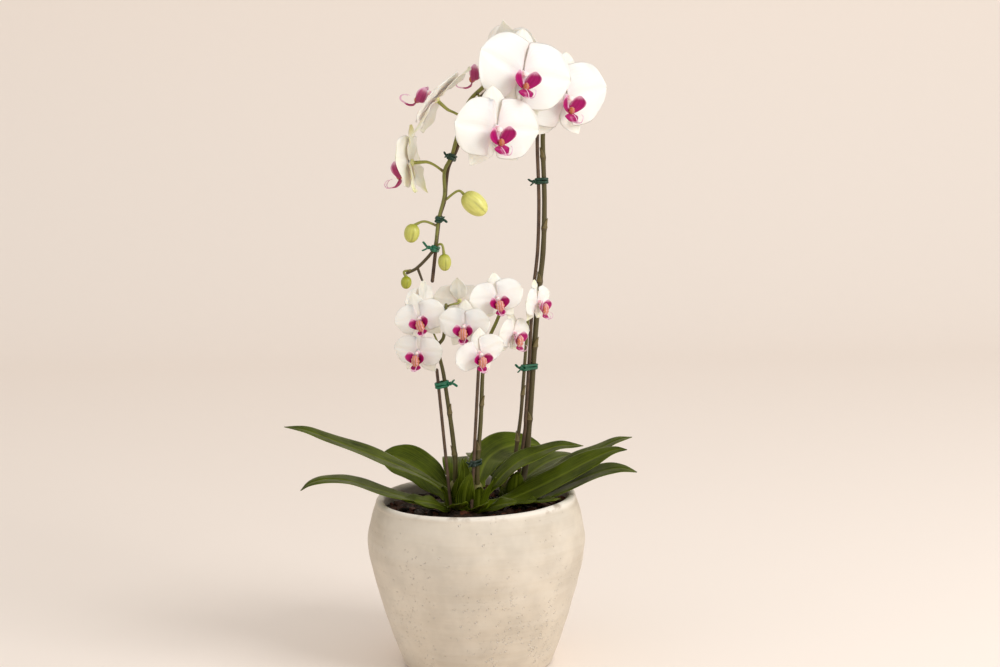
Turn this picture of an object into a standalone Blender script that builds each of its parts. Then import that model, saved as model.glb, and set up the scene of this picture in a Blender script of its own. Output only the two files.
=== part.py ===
"""Potted orchid: a turned stoneware pot of bark, four plants with their leaves, four flower spikes, and the
support wire, stakes and twist ties that hold the spikes up.

Units are metres and +Z is up. The front of the arrangement looks along -Y, with +X to the right. The origin
is the middle of the pot's foot, on the surface that the pot stands on."""

import math
import random

import bmesh
import bpy
import numpy as np

# Clearance between two pieces that touch
GAP = 0.0003

# Pot
POT_HEIGHT = 0.184
POT_WALL = 0.0085
POT_FLOOR = 0.012
POT_SEGMENTS = 32
POT_FOOT_ROUND = 0.006
POT_OUTLINE_STEP = 0.021
POT_OUTLINE = (
    (0.0815, 0.0060),
    (0.0890, 0.0260),
    (0.1001, 0.0610),
    (0.1108, 0.1010),
    (0.1160, 0.1300),
    (0.1153, 0.1460),
    (0.1115, 0.1650),
    (0.1068, 0.1790),
)
POT_INNER_HEIGHTS = (0.030, 0.075, 0.118, 0.142)
POT_FLOOR_FILLET = 0.014
# How far inside the wall the mix starts, in gaps, so that the slope of the wall leaves a whole gap too
MIX_INSET_GAPS = 1.4
POT_RIM_SLOPE = 0.025
POT_OUT_OF_ROUND = 0.007

# Potting mix
MIX_LEVEL = 0.166
MIX_DOME = 0.002
CHIP_COUNT = 18
CHIP_SIZE = (0.0190, 0.0110, 0.0060)
CHIP_SINK = 0.0006
CHIP_CLEARANCE = 0.0165
CHIP_SPACING = 0.0115
CHIP_FIELD = 0.088
CHIP_LEAN = 0.25
CHIP_SEED = 11

# Holes in the mix for the crowns, the stakes and the wire
HOLE_TOP = 0.2
CROWN_HOLE_SIDES = 12
STAKE_HOLE_SIDES = 8

# Crowns: the short stems that the leaves and the spikes grow from (x, y, radius, top)
CROWN_FOOT = 0.138
CROWNS = {
    "left": (-0.0220, -0.0050, 0.0085, 0.2000),
    "middle": (0.0020, -0.0160, 0.0085, 0.2000),
    "tall": (0.0400, 0.0080, 0.0090, 0.2000),
    "rear": (0.0330, 0.0370, 0.0070, 0.1960),
}
CROWN_SIDES = 8
# Section of a crown: (height, share of its radius), then the same below its top
CROWN_SHAPE = ((CROWN_FOOT, 1.0), (0.172, 1.0), (0.186, 0.92))
CROWN_TOP_SHAPE = ((-0.004, 0.72), (0.0, 0.45))

# Flower spikes: route, then the radius at the foot and at the tip
SPIKE_TALL_ROUTE = (
    (0.0400, 0.0080, 0.1800),
    (0.0470, 0.0220, 0.1860),
    (0.0540, 0.0300, 0.2060),
    (0.0600, 0.0280, 0.2700),
    (0.0660, 0.0260, 0.3460),
    (0.0710, 0.0260, 0.4000),
    (0.0760, 0.0250, 0.4430),
    (0.0780, 0.0250, 0.4970),
    (0.0770, 0.0250, 0.5590),
    (0.0790, 0.0240, 0.6000),
    (0.0740, 0.0190, 0.6280),
    (0.0590, 0.0120, 0.6420),
    (0.0380, 0.0010, 0.6390),
    (0.0180, -0.0110, 0.6200),
    (0.0010, -0.0210, 0.6040),
    (-0.0080, -0.0260, 0.5830),
    (-0.0180, -0.0280, 0.5490),
    (-0.0260, -0.0300, 0.5320),
    (-0.0265, -0.0300, 0.5080),
    (-0.0330, -0.0300, 0.4830),
    (-0.0370, -0.0300, 0.4560),
    (-0.0420, -0.0300, 0.4470),
    (-0.0560, -0.0300, 0.4330),
    (-0.0665, -0.0300, 0.4275),
)
SPIKE_LEFT_ROUTE = (
    (-0.0220, -0.0060, 0.1900),
    (-0.0210, -0.0100, 0.2220),
    (-0.0240, -0.0100, 0.2570),
    (-0.0280, -0.0100, 0.2890),
    (-0.0320, -0.0100, 0.3190),
    (-0.0370, -0.0100, 0.3450),
    (-0.0310, -0.0080, 0.3560),
    (-0.0290, -0.0020, 0.3740),
    (-0.0280, 0.0040, 0.3890),
)
SPIKE_MIDDLE_ROUTE = (
    (0.0020, -0.0170, 0.1900),
    (0.0030, -0.0210, 0.2260),
    (0.0070, -0.0220, 0.2690),
    (0.0100, -0.0220, 0.3200),
    (0.0140, -0.0220, 0.3440),
    (0.0170, -0.0200, 0.3560),
    (0.0250, -0.0190, 0.3730),
    (0.0300, -0.0190, 0.3850),
)
SPIKE_REAR_ROUTE = (
    (0.0340, 0.0350, 0.1860),
    (0.0400, 0.0260, 0.2040),
    (0.0490, 0.0190, 0.2600),
    (0.0530, 0.0170, 0.3040),
    (0.0560, 0.0160, 0.3380),
    (0.0575, 0.0140, 0.3560),
    (0.0590, 0.0100, 0.3760),
    (0.0595, 0.0070, 0.3850),
)
SPIKE_RADII = {
    "tall": (0.0035, 0.0016),
    "left": (0.0028, 0.0017),
    "middle": (0.0027, 0.0017),
    "rear": (0.0023, 0.0016),
}
SPIKE_SIDES = 6
SPIKE_BEND = 14
SPIKE_LONGEST = 0.060

# Support wire along the tall spike, and the stakes of the two front spikes
WIRE_RADIUS = 0.0019
WIRE_OFFSET = 0.0059
WIRE_FOOT = 0.100
WIRE_ENTRY = (0.0425, 0.0310)
WIRE_BEND_HEIGHT = 0.174
WIRE_START_HEIGHT = 0.240
WIRE_LAST_HEIGHT = 0.4560
WIRE_CUT_END = (-0.0410, -0.0235, 0.4180)
# Side of the spike that the wire runs on, at fractions of the spike's length
WIRE_SIDES = (
    (0.00, (-0.7, -0.7, 0.0)),
    (0.22, (-0.8, -0.6, 0.0)),
    (0.32, (-1.0, 0.0, 0.0)),
    (0.42, (-1.0, 0.0, -0.2)),
    (0.50, (-0.5, 0.0, -1.0)),
    (0.60, (0.1, 0.0, -1.0)),
    (0.70, (1.0, 0.3, -0.6)),
    (0.80, (0.6, 0.9, 0.0)),
    (0.90, (0.1, 1.0, 0.0)),
    (1.00, (0.1, 1.0, 0.0)),
)
STAKE_RADIUS = 0.00175
STAKE_FOOT = 0.080
STAKE_LEFT = ((-0.0255, -0.0200), (-0.0385, -0.0130, 0.3220))
STAKE_MIDDLE = ((-0.0050, -0.0300), (0.0057, -0.0242, 0.3260))
SUPPORT_SIDES = 6

# Leaves: crown, height on it, heading in degrees, then the rib's route after the base, half width, length
# fraction of the widest place, which way the upper face looks, and how far the blade folds up into a channel
LEAF_THICKNESS = 0.0018
# From the crown's round to the middle of the leaf's end face, which leans back over the crown a little
LEAF_SEAT = 0.0006
LEAF_BASE_HALF_WIDTH = 0.0080
LEAF_NECK_HALF_WIDTH = 0.0145
LEAF_TIP_HALF_WIDTH = 0.0030
LEAF_ROWS = 8
LEAF_COLUMNS = 5
LEAVES = {
    "leaf_left_long": (
        "left", 0.1880, 191,
        ((-0.0485, -0.0080, 0.2010), (-0.0724, -0.0140, 0.2150), (-0.1004, -0.0200, 0.2285),
         (-0.1302, -0.0270, 0.2425), (-0.1568, -0.0330, 0.2550), (-0.1770, -0.0380, 0.2640),
         (-0.1984, -0.0420, 0.2690)),
        0.0180, 0.50, (0.10, -0.20, 1.00), 0.16,
    ),
    "leaf_left_back": (
        "left", 0.1800, 142,
        ((-0.0430, 0.0150, 0.1900), (-0.0560, 0.0290, 0.2010), (-0.0740, 0.0450, 0.2100),
         (-0.0910, 0.0580, 0.2140), (-0.1070, 0.0690, 0.2120)),
        0.0235, 0.58, (0.35, -0.80, 0.60), 0.14,
    ),
    "leaf_left_low": (
        "left", 0.1740, 205,
        ((-0.0520, -0.0200, 0.1800), (-0.0740, -0.0300, 0.1885), (-0.0949, -0.0380, 0.1965),
         (-0.1152, -0.0460, 0.2050), (-0.1353, -0.0540, 0.2130), (-0.1556, -0.0600, 0.2157),
         (-0.1709, -0.0640, 0.2126), (-0.1807, -0.0660, 0.2060)),
        0.0190, 0.52, (0.05, -0.14, 1.00), 0.12,
    ),
    "leaf_left_inner": (
        "left", 0.1900, 86,
        ((-0.0220, 0.0160, 0.2010), (-0.0215, 0.0330, 0.2110), (-0.0215, 0.0530, 0.2130),
         (-0.0220, 0.0730, 0.2050)),
        0.0150, 0.55, (0.05, -0.60, 0.80), 0.14,
    ),
    "leaf_middle_inner": (
        "middle", 0.1850, 160,
        ((-0.0110, -0.0085, 0.1990), (-0.0110, 0.0010, 0.2120), (-0.0100, 0.0120, 0.2220)),
        0.0085, 0.50, (0.85, -0.35, 0.45), 0.10,
    ),
    "leaf_middle_back": (
        "middle", 0.1930, 82,
        ((0.0060, 0.0080, 0.2045), (0.0130, 0.0310, 0.2150), (0.0290, 0.0530, 0.2225),
         (0.0510, 0.0690, 0.2240), (0.0740, 0.0790, 0.2185)),
        0.0215, 0.50, (-0.20, -0.75, 0.60), 0.14,
    ),
    "leaf_middle_arched": (
        "middle", 0.1865, 12,
        ((0.0200, -0.0130, 0.1960), (0.0310, -0.0090, 0.2080), (0.0481, -0.0050, 0.2205),
         (0.0698, -0.0010, 0.2290), (0.0914, 0.0030, 0.2345), (0.1163, 0.0060, 0.2340)),
        0.0160, 0.46, (0.00, -0.25, 1.00), 0.14,
    ),
    "leaf_middle_long": (
        "middle", 0.1760, -12,
        ((0.0240, -0.0190, 0.1790), (0.0420, -0.0220, 0.1845), (0.0687, -0.0260, 0.1975),
         (0.0951, -0.0310, 0.2115), (0.1213, -0.0360, 0.2265), (0.1443, -0.0400, 0.2375),
         (0.1598, -0.0430, 0.2395)),
        0.0195, 0.50, (0.00, -0.42, 0.90), 0.12,
    ),
    "leaf_tall_long": (
        "tall", 0.1880, 4,
        ((0.0620, 0.0110, 0.1970), (0.0913, 0.0140, 0.2075), (0.1240, 0.0190, 0.2215),
         (0.1513, 0.0230, 0.2345), (0.1698, 0.0260, 0.2387)),
        0.0190, 0.50, (0.00, -0.12, 1.00), 0.12,
    ),
    "leaf_tall_low": (
        "tall", 0.1760, -42,
        ((0.0600, -0.0140, 0.1820), (0.0770, -0.0260, 0.1890), (0.1002, -0.0330, 0.2010),
         (0.1317, -0.0370, 0.2140), (0.1526, -0.0400, 0.2185), (0.1703, -0.0420, 0.2150)),
        0.0200, 0.52, (0.00, -0.22, 1.00), 0.12,
    ),
    "leaf_rear_side": (
        "rear", 0.1780, 38,
        ((0.0560, 0.0560, 0.1900), (0.0780, 0.0720, 0.2010), (0.1020, 0.0860, 0.2060),
         (0.1230, 0.0950, 0.2000)),
        0.0200, 0.52, (0.00, -0.10, 1.00), 0.14,
    ),
    "leaf_rear_back": (
        "rear", 0.1840, 112,
        ((0.0220, 0.0600, 0.1960), (0.0130, 0.0820, 0.2060), (0.0030, 0.1060, 0.2060),
         (-0.0060, 0.1270, 0.1960)),
        0.0200, 0.52, (0.00, 0.00, 1.00), 0.14,
    ),
}

# Tepals of one bloom: length and half width, for a large bloom and for a small one
TEPAL_THICKNESS = 0.0009
TEPAL_START = 0.0020
TEPAL_WAVE = 0.0016
# A petal's shoulders fall back towards the bloom's middle: share of the width, place along it and spread
PETAL_SHOULDER = (0.18, 0.33, 0.20)
# How far the margins fall back along a tepal, as a share of its width
TEPAL_ROUND = 0.10
# Differences between the tepals of a bloom: share of the size, and degrees of angle and of tilt
TEPAL_VARIES = (0.95, 1.03)
TEPAL_SWING = 3
TEPAL_NOD = 2
PETAL_SIZE = {"large": (0.0500, 0.0330), "small": (0.0265, 0.0160)}
DORSAL_SIZE = {"large": (0.0460, 0.0180), "small": (0.0245, 0.0095)}
LATERAL_SIZE = {"large": (0.0470, 0.0155), "small": (0.0250, 0.0085)}
PETAL_GRID = {"large": (6, 4), "small": (5, 3)}
SEPAL_GRID = {"large": (4, 3), "small": (4, 2)}
BLOOM_SCALE = {"large": 1.0, "small": 0.62}
# Section of a large bloom's middle, from behind the centre to the column's cap: (radius, distance forward)
RECEPTACLE_BACK = 0.0049
CORE_OUTLINE = (
    (0.0, -RECEPTACLE_BACK), (0.0042, -0.0012), (0.0040, 0.0018), (0.0026, 0.0040), (0.0031, 0.0090),
    (0.0, 0.0118),
)
CORE_SIDES = 6
LIP_SCALE = {"large": 1.0, "small": 0.72}
# The lip's strip, from the claw to the tip of the middle lobe: up, forward and half width, for a large bloom
LIP_STRIP = {
    "large": (
        (-0.0037, 0.0028, 0.0014), (-0.0110, 0.0068, 0.0024), (-0.0135, 0.0100, 0.0030),
        (-0.0160, 0.0122, 0.0034), (-0.0203, 0.0125, 0.0084), (-0.0238, 0.0170, 0.0058),
        (-0.0245, 0.0240, 0.0024),
    ),
    "small": (
        (-0.0034, 0.0028, 0.0014), (-0.0110, 0.0068, 0.0024), (-0.0135, 0.0100, 0.0030),
        (-0.0160, 0.0122, 0.0036), (-0.0215, 0.0130, 0.0078), (-0.0242, 0.0205, 0.0024),
    ),
}
LIP_LOBE_STEPS = {"large": 3, "small": 2}
# Share of a side lobe's width that runs outwards, and the share that runs forwards
LOBE_FLARE = 0.60
LOBE_REACH = 0.80
# A side lobe's middle line: how far out it starts and how much further it ends, how far up it ends and how much
# lower it starts, and how far forward it starts and how much further it ends. Then its least half width and how
# much it swells
LOBE_OUT = (0.0062, 0.0052)
LOBE_RISE = (0.0030, 0.0175)
LOBE_FORWARD = (0.0100, 0.0040)
LOBE_HALF_WIDTH = (0.0040, 0.0044)
LOBE_CURL = 0.0006
LIP_TENDRIL = {
    "large": ((0.0032, -0.0205, 0.0275), (0.0054, -0.0170, 0.0225)),
    "small": ((0.0045, -0.0185, 0.0240),),
}
TENDRIL_WIDTH = 0.0011
TEPAL_SEED = 23

# Blooms: kind, size, centre, turn from the front towards +X, pitch up, roll, spike, a place near which the
# stalk leaves that spike, and the directions of the right petal and the left petal in degrees
BLOOMS = {
    "bloom_large_1": (
        "large", 1.02, (0.0550, -0.0380, 0.6305), 24, 2, -7, "tall", (0.0720, 0.0190, 0.6330), -4, 158),
    "bloom_large_2": (
        "large", 0.93, (0.0275, -0.0640, 0.5770), 26, -4, 2, "tall", (0.0100, -0.0170, 0.6120), -8, 168),
    "bloom_large_3": (
        "large", 1.02, (0.1010, 0.0120, 0.6050), 34, -4, -4, "tall", (0.0790, 0.0240, 0.5950), 12, 172),
    "bloom_large_4": (
        "large", 1.00, (-0.0340, -0.0340, 0.6070), -97, 42, 0, "tall", (-0.0090, -0.0270, 0.5880), 18, 172),
    "bloom_large_5": (
        "large", 0.80, (-0.0611, -0.0290, 0.5415), -103, -4, 0, "tall", (-0.0260, -0.0300, 0.5310), 8, 172),
    "bloom_large_6": (
        "large", 0.90, (0.0190, 0.0460, 0.6340), -92, 14, 0, "tall", (0.0280, -0.0040, 0.6350), 8, 172),
    "bloom_large_7": (
        "large", 0.92, (0.0480, 0.0600, 0.6460), 130, 10, 0, "tall", (0.0560, 0.0120, 0.6420), 18, 172),
    "bloom_small_1": (
        "small", 1.00, (-0.0540, -0.0370, 0.3810), -12, 0, 18, "left", (-0.0360, -0.0100, 0.3480), 6, 174),
    "bloom_small_2": (
        "small", 1.00, (-0.0560, -0.0420, 0.3460), -20, -4, 0, "left", (-0.0340, -0.0100, 0.3320), 8, 172),
    "bloom_small_3": (
        "small", 1.00, (-0.0075, -0.0500, 0.3740), -10, 0, 0, "middle", (0.0160, -0.0210, 0.3530), 15, 162),
    "bloom_small_4": (
        "small", 0.98, (0.0070, -0.0620, 0.3480), 25, -12, 0, "middle", (0.0120, -0.0220, 0.3360), 20, 196),
    "bloom_small_5": (
        "small", 1.03, (0.0260, -0.0365, 0.4010), 12, 0, 8, "middle", (0.0300, -0.0190, 0.3850), 11, 175),
    "bloom_small_6": (
        "small", 0.96, (0.0420, -0.0230, 0.3620), 54, -6, 0, "rear", (0.0570, 0.0150, 0.3500), -6, 172),
    "bloom_small_7": (
        "small", 0.90, (0.0680, -0.0120, 0.3930), 62, -2, 0, "rear", (0.0595, 0.0070, 0.3850), 8, 172),
    "bloom_small_8": (
        "small", 1.00, (-0.0140, 0.0300, 0.3900), 172, 8, 0, "left", (-0.0280, 0.0030, 0.3860), 8, 172),
    "bloom_small_9": (
        "small", 1.00, (-0.0550, 0.0120, 0.3900), -120, 0, 0, "left", (-0.0280, 0.0020, 0.3840), 8, 172),
}
STALK_RADIUS = {"large": 0.0016, "small": 0.0012}
STALK_STRAIGHT = {"large": 0.010, "small": 0.007}
STALK_SIDES = 4
STALK_LIFT = 0.35

# Buds of the tall spike: place near which the stalk leaves, a bend of the stalk, centre of the bud, half
# length, half width, and the direction that its tip points in
BUDS = (
    ((-0.0275, -0.0300, 0.5010), (-0.0125, -0.0310, 0.5120), (0.0045, -0.0310, 0.4985),
     0.0152, 0.0112, (0.75, -0.10, -0.65)),
    ((-0.0340, -0.0300, 0.4760), (-0.0480, -0.0310, 0.4810), (-0.0610, -0.0320, 0.4690),
     0.0098, 0.0080, (-0.20, -0.05, -1.00)),
    ((-0.0370, -0.0300, 0.4560), (-0.0300, -0.0350, 0.4570), (-0.0275, -0.0350, 0.4385),
     0.0088, 0.0068, (0.05, -0.10, -1.00)),
    ((-0.0610, -0.0300, 0.4300), (-0.0700, -0.0300, 0.4290), (-0.0680, -0.0300, 0.4175),
     0.0066, 0.0056, (-0.10, 0.00, -1.00)),
)
BUD_SIDES = 6
BUD_RINGS = 4
BUD_STALK_RADIUS = 0.0011
BUD_STALK_BEND = 24
BUD_STALK_LONGEST = 0.030
SPUR = ((-0.0560, -0.0300, 0.4330), (-0.0515, -0.0300, 0.4200), 0.0014)

# Twist ties: the stems held, a place near which the tie sits, how far its ends stand out and where to
TIE_RADIUS = 0.0011
TIE_CLEARANCE = 0.0006
TIE_POINTS = 10
TIE_SIDES = 4
TIES = {
    "tie_wire_top": (("tall", "wire"), (0.0740, 0.0250, 0.5170), 0.008, (-1.0, -0.5, -0.3)),
    "tie_wire_low": (("tall", "wire", "rear"), (0.0580, 0.0220, 0.3180), 0.010, (-0.7, -0.8, 0.2)),
    "tie_stake_left": (("left", "stake_left"), (-0.0355, -0.0120, 0.3060), 0.010, (1.0, -0.5, 0.1)),
    "tie_stake_middle": (("middle", "stake_middle"), (0.0010, -0.0230, 0.2240), 0.005, (-0.8, -0.6, 0.0)),
    "tie_hanging_top": (("tall", "wire"), (-0.0195, -0.0270, 0.5470), 0.006, (-0.8, -0.6, 0.2)),
    "tie_hanging_mid": (("tall", "wire"), (-0.0340, -0.0290, 0.4830), 0.007, (0.8, -0.6, 0.5)),
    "tie_hanging_low": (("tall", "wire"), (-0.0385, -0.0280, 0.4525), 0.011, (-1.0, -0.4, 0.0)),
}

# Colour, roughness and metallic value of each finish
FINISHES = {
    "stoneware": ((0.640, 0.550, 0.440), 0.85, 0.0),
    "bark": ((0.060, 0.036, 0.024), 0.90, 0.0),
    "leaf": ((0.075, 0.115, 0.035), 0.40, 0.0),
    "spike": ((0.150, 0.160, 0.050), 0.55, 0.0),
    "coated_wire": ((0.055, 0.036, 0.026), 0.55, 0.0),
    "twist_tie": ((0.015, 0.160, 0.070), 0.45, 0.0),
    "petal": ((0.900, 0.850, 0.790), 0.50, 0.0),
    "lip": ((0.560, 0.030, 0.230), 0.45, 0.0),
}


def clear_scene():
    for obj in list(bpy.data.objects):
        bpy.data.objects.remove(obj, do_unlink=True)


def finish_material(name):
    """The Principled material of one finish, made once."""
    found = bpy.data.materials.get(name)
    if found:
        return found
    colour, roughness, metallic = FINISHES[name]
    made = bpy.data.materials.new(name)
    made.use_nodes = True
    shader = made.node_tree.nodes["Principled BSDF"]
    shader.inputs["Base Color"].default_value = (*colour, 1.0)
    shader.inputs["Roughness"].default_value = roughness
    shader.inputs["Metallic"].default_value = metallic
    return made


def add_object(name, mesh):
    obj = bpy.data.objects.new(name, mesh)
    bpy.context.scene.collection.objects.link(obj)
    return obj


def mesh_object(name, points, faces):
    mesh = bpy.data.meshes.new(name)
    mesh.from_pydata([tuple(map(float, point)) for point in points], [], faces)
    return add_object(name, mesh)


def bake_modifiers(obj):
    """Replaces the object's mesh with what its modifiers make of it."""
    bpy.context.view_layer.update()
    evaluated = obj.evaluated_get(bpy.context.evaluated_depsgraph_get())
    mesh = bpy.data.meshes.new_from_object(evaluated)
    obj.modifiers.clear()
    obj.data = mesh


def delete_objects(objects):
    for obj in objects:
        bpy.data.objects.remove(obj, do_unlink=True)


def keep_outer_skin(mesh):
    """Fills a hollow that joining sealed and drops a loose scrap: only the largest connected skin stays."""
    work = bmesh.new()
    work.from_mesh(mesh)
    unseen = set(work.verts)
    skins = []
    while unseen:
        skin = set()
        edge_of_search = [unseen.pop()]
        while edge_of_search:
            vert = edge_of_search.pop()
            skin.add(vert)
            for edge in vert.link_edges:
                other = edge.other_vert(vert)
                if other in unseen:
                    unseen.remove(other)
                    edge_of_search.append(other)
        skins.append(skin)
    skins.sort(key=len)
    for skin in skins[:-1]:
        bmesh.ops.delete(work, geom=list(skin), context="VERTS")
    work.to_mesh(mesh)
    work.free()


def boolean_with(obj, others, operation):
    """Joins the others to the object, or cuts them from it, and removes them."""
    group = bpy.data.collections.new(obj.name + "_others")
    bpy.context.scene.collection.children.link(group)
    for other in others:
        bpy.context.scene.collection.objects.unlink(other)
        group.objects.link(other)
    modifier = obj.modifiers.new("joined", "BOOLEAN")
    modifier.operation = operation
    modifier.operand_type = "COLLECTION"
    modifier.collection = group
    modifier.solver = "MANIFOLD"
    bake_modifiers(obj)
    keep_outer_skin(obj.data)
    delete_objects(others)
    bpy.data.collections.remove(group)
    return obj


def finish_node(obj, name, finish):
    """Names a finished node, shades it smooth and gives it its material."""
    obj.name = name
    obj.data.name = name
    obj.data.materials.clear()
    obj.data.materials.append(finish_material(finish))
    obj.data.shade_smooth()
    obj.data.set_sharp_from_angle(angle=math.radians(50))
    return obj


def unit(vector):
    vector = np.asarray(vector, float)
    return vector / np.linalg.norm(vector)


def smooth_path(points, step):
    """A Catmull-Rom curve through the points, read at even steps along its length."""
    points = np.asarray(points, float)
    ends = np.vstack([2 * points[0] - points[1], points, 2 * points[-1] - points[-2]])
    t = np.linspace(0, 1, 16, endpoint=False)[:, None]
    pieces = []
    for a, b, c, d in zip(ends, ends[1:], ends[2:], ends[3:]):
        pieces.append(
            0.5 * (2 * b + (c - a) * t + (2 * a - 5 * b + 4 * c - d) * t**2 + (3 * b - a - 3 * c + d) * t**3)
        )
    fine = np.vstack([*pieces, points[-1:]])
    along = np.concatenate([[0], np.cumsum(np.linalg.norm(np.diff(fine, axis=0), axis=1))])
    wanted = np.linspace(0, along[-1], max(2, round(along[-1] / step) + 1))
    return np.stack([np.interp(wanted, along, fine[:, axis]) for axis in range(3)], axis=1)


def sparse(path, bend, longest):
    """The path with a point wherever it has turned by the bend, in degrees, or run on for the longest."""
    heading = tangents(path)
    kept = [0]
    for i in range(1, len(path) - 1):
        turned_by = math.degrees(math.acos(min(1.0, float(heading[i] @ heading[kept[-1]]))))
        if turned_by >= bend or np.linalg.norm(path[i] - path[kept[-1]]) >= longest:
            kept.append(i)
    return path[[*kept, len(path) - 1]]


def tangents(path):
    steps = np.gradient(path, axis=0)
    return steps / np.linalg.norm(steps, axis=1)[:, None]


def nearest(path, place):
    """Index of the path's point nearest to a place."""
    return int(np.argmin(np.linalg.norm(path - np.asarray(place), axis=1)))


def closest_point(path, place):
    """The point nearest to a place on the straight runs between the path's points."""
    starts, runs = path[:-1], np.diff(path, axis=0)
    share = np.clip(((place - starts) * runs).sum(1) / (runs * runs).sum(1), 0, 1)
    points = starts + share[:, None] * runs
    return points[nearest(points, place)]


def merged(mesh):
    """The mesh with its doubled points merged and its faces turned outwards."""
    work = bmesh.new()
    work.from_mesh(mesh)
    bmesh.ops.remove_doubles(work, verts=work.verts, dist=1e-6)
    bmesh.ops.recalc_face_normals(work, faces=work.faces)
    work.to_mesh(mesh)
    work.free()
    return mesh


def merged_object(obj):
    merged(obj.data)
    return obj


def tube(name, path, radii, sides, cyclic=False):
    """A round tube along the path, made as a bevelled curve with filled caps."""
    curve = bpy.data.curves.new(name, "CURVE")
    curve.dimensions = "3D"
    curve.bevel_depth = 1.0
    curve.bevel_resolution = (sides - 4) // 2
    curve.use_fill_caps = True
    spline = curve.splines.new("POLY")
    spline.points.add(len(path) - 1)
    spline.use_cyclic_u = cyclic
    for point, place, radius in zip(spline.points, path, np.broadcast_to(radii, len(path))):
        point.co = (*map(float, place), 1.0)
        point.radius = float(radius)
    guide = add_object(name + "_guide", curve)
    mesh = merged(bpy.data.meshes.new_from_object(guide))
    delete_objects([guide])
    return add_object(name, mesh)


def turned(name, outline, segments):
    """The outline of (radius, height) points turned about the Z axis. It starts and ends on the axis."""
    work = bmesh.new()
    points = [work.verts.new((radius, 0, height)) for radius, height in outline]
    edges = [work.edges.new(pair) for pair in zip(points, points[1:])]
    bmesh.ops.spin(
        work, geom=points + edges, cent=(0, 0, 0), axis=(0, 0, 1), angle=2 * math.pi, steps=segments
    )
    bmesh.ops.remove_doubles(work, verts=work.verts, dist=1e-6)
    bmesh.ops.recalc_face_normals(work, faces=work.faces)
    mesh = bpy.data.meshes.new(name)
    work.to_mesh(mesh)
    work.free()
    return add_object(name, mesh)


def ellipsoid(name, centre, axis, half_length, half_width, sides, rings):
    """A closed egg shape about the axis, with its rings spaced by angle."""
    angles = np.linspace(0, math.pi, rings + 2)
    outline = [(half_width * math.sin(a), -half_length * math.cos(a)) for a in angles]
    outline[0] = (0.0, -half_length)
    outline[-1] = (0.0, half_length)
    obj = turned(name, outline, sides)
    third = unit(axis)
    first = unit(np.cross(third, (0.31, 0.93, 0.17)))
    second = np.cross(third, first)
    points = vertex_array(obj.data)
    set_vertices(obj.data, centre + points @ np.stack([first, second, third]))
    return obj


def vertex_array(mesh):
    flat = np.empty(len(mesh.vertices) * 3, np.float32)
    mesh.vertices.foreach_get("co", flat)
    return flat.reshape(-1, 3).astype(float)


def set_vertices(mesh, points):
    mesh.vertices.foreach_set("co", np.asarray(points, np.float32).ravel())
    mesh.update()


def blade(name, grid, thickness):
    """A thin closed blade: the grid of points (rows, columns, 3), in triangles, given its thickness."""
    rows, columns = grid.shape[:2]
    faces = []
    for row in range(rows - 1):
        for column in range(columns - 1):
            a = row * columns + column
            b, c, d = a + 1, a + columns + 1, a + columns
            if column < (columns - 1) / 2:
                faces += [(a, b, c), (a, c, d)]
            else:
                faces += [(a, b, d), (b, c, d)]
    obj = mesh_object(name, grid.reshape(-1, 3), faces)
    modifier = obj.modifiers.new("thickness", "SOLIDIFY")
    modifier.thickness = thickness
    modifier.offset = 0.0
    bake_modifiers(obj)
    return obj


def lopsided(points):
    """The slight unevenness of a pot thrown by hand: an oval mouth and a rim that slopes towards -X."""
    points = np.array(points, float)
    rise = points[:, 2] / POT_HEIGHT
    angle = np.arctan2(points[:, 1], points[:, 0])
    swell = 1 + POT_OUT_OF_ROUND * rise * np.cos(2 * angle + 0.8)
    points[:, :2] *= swell[:, None]
    points[:, 2] += POT_RIM_SLOPE * points[:, 0] * np.clip(rise, 0, 1) ** 3
    return points


def outer_wall():
    """The pot's outside as a smooth curve of (radius, height) from the foot to the rim."""
    return smooth_path([(r, 0, z) for r, z in POT_OUTLINE], POT_OUTLINE_STEP)[:, [0, 2]]


def inner_wall(gap=0.0):
    """The inside of the pot's wall from the floor to the top of the mix, moved in and up by a gap."""
    wall = outer_wall()
    inset = POT_WALL + MIX_INSET_GAPS * gap
    heights = (*POT_INNER_HEIGHTS, MIX_LEVEL)
    points = [(float(np.interp(z, wall[:, 1], wall[:, 0])) - inset, z) for z in heights]
    return [(points[0][0] - POT_FLOOR_FILLET, POT_FLOOR + gap), *points]


def pot_outline():
    """The pot's section: up the outside, over the round rim and down the inside to the floor's middle."""
    foot_radius = POT_OUTLINE[0][0] - POT_FOOT_ROUND
    foot = [
        (foot_radius + POT_FOOT_ROUND * math.sin(a), POT_FOOT_ROUND * (1 - math.cos(a)))
        for a in (0.0, math.pi / 4)
    ]
    rim_centre = POT_OUTLINE[-1][0] - POT_WALL / 2
    rim = [
        (rim_centre + POT_WALL / 2 * math.cos(a), POT_HEIGHT - POT_WALL / 2 + POT_WALL / 2 * math.sin(a))
        for a in np.linspace(0, math.pi, 6)[1:]
    ]
    return [(0.0, 0.0), *foot, *outer_wall(), *rim, *inner_wall()[::-1], (0.0, POT_FLOOR)]


def make_pot():
    pot = turned("pot", pot_outline(), POT_SEGMENTS)
    set_vertices(pot.data, lopsided(vertex_array(pot.data)))
    finish_node(pot, "pot", "stoneware")


def mix_outline():
    """The mix's section: inside the pot's inner wall by the gap, with a top that rises a little."""
    side = inner_wall(GAP)
    edge = side[-1][0]
    top = [(edge * f, MIX_LEVEL + MIX_DOME * (1 - f * f)) for f in (0.7, 0.35)]
    return [(0.0, POT_FLOOR + GAP), *side, *top, (0.0, MIX_LEVEL + MIX_DOME)]


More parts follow.
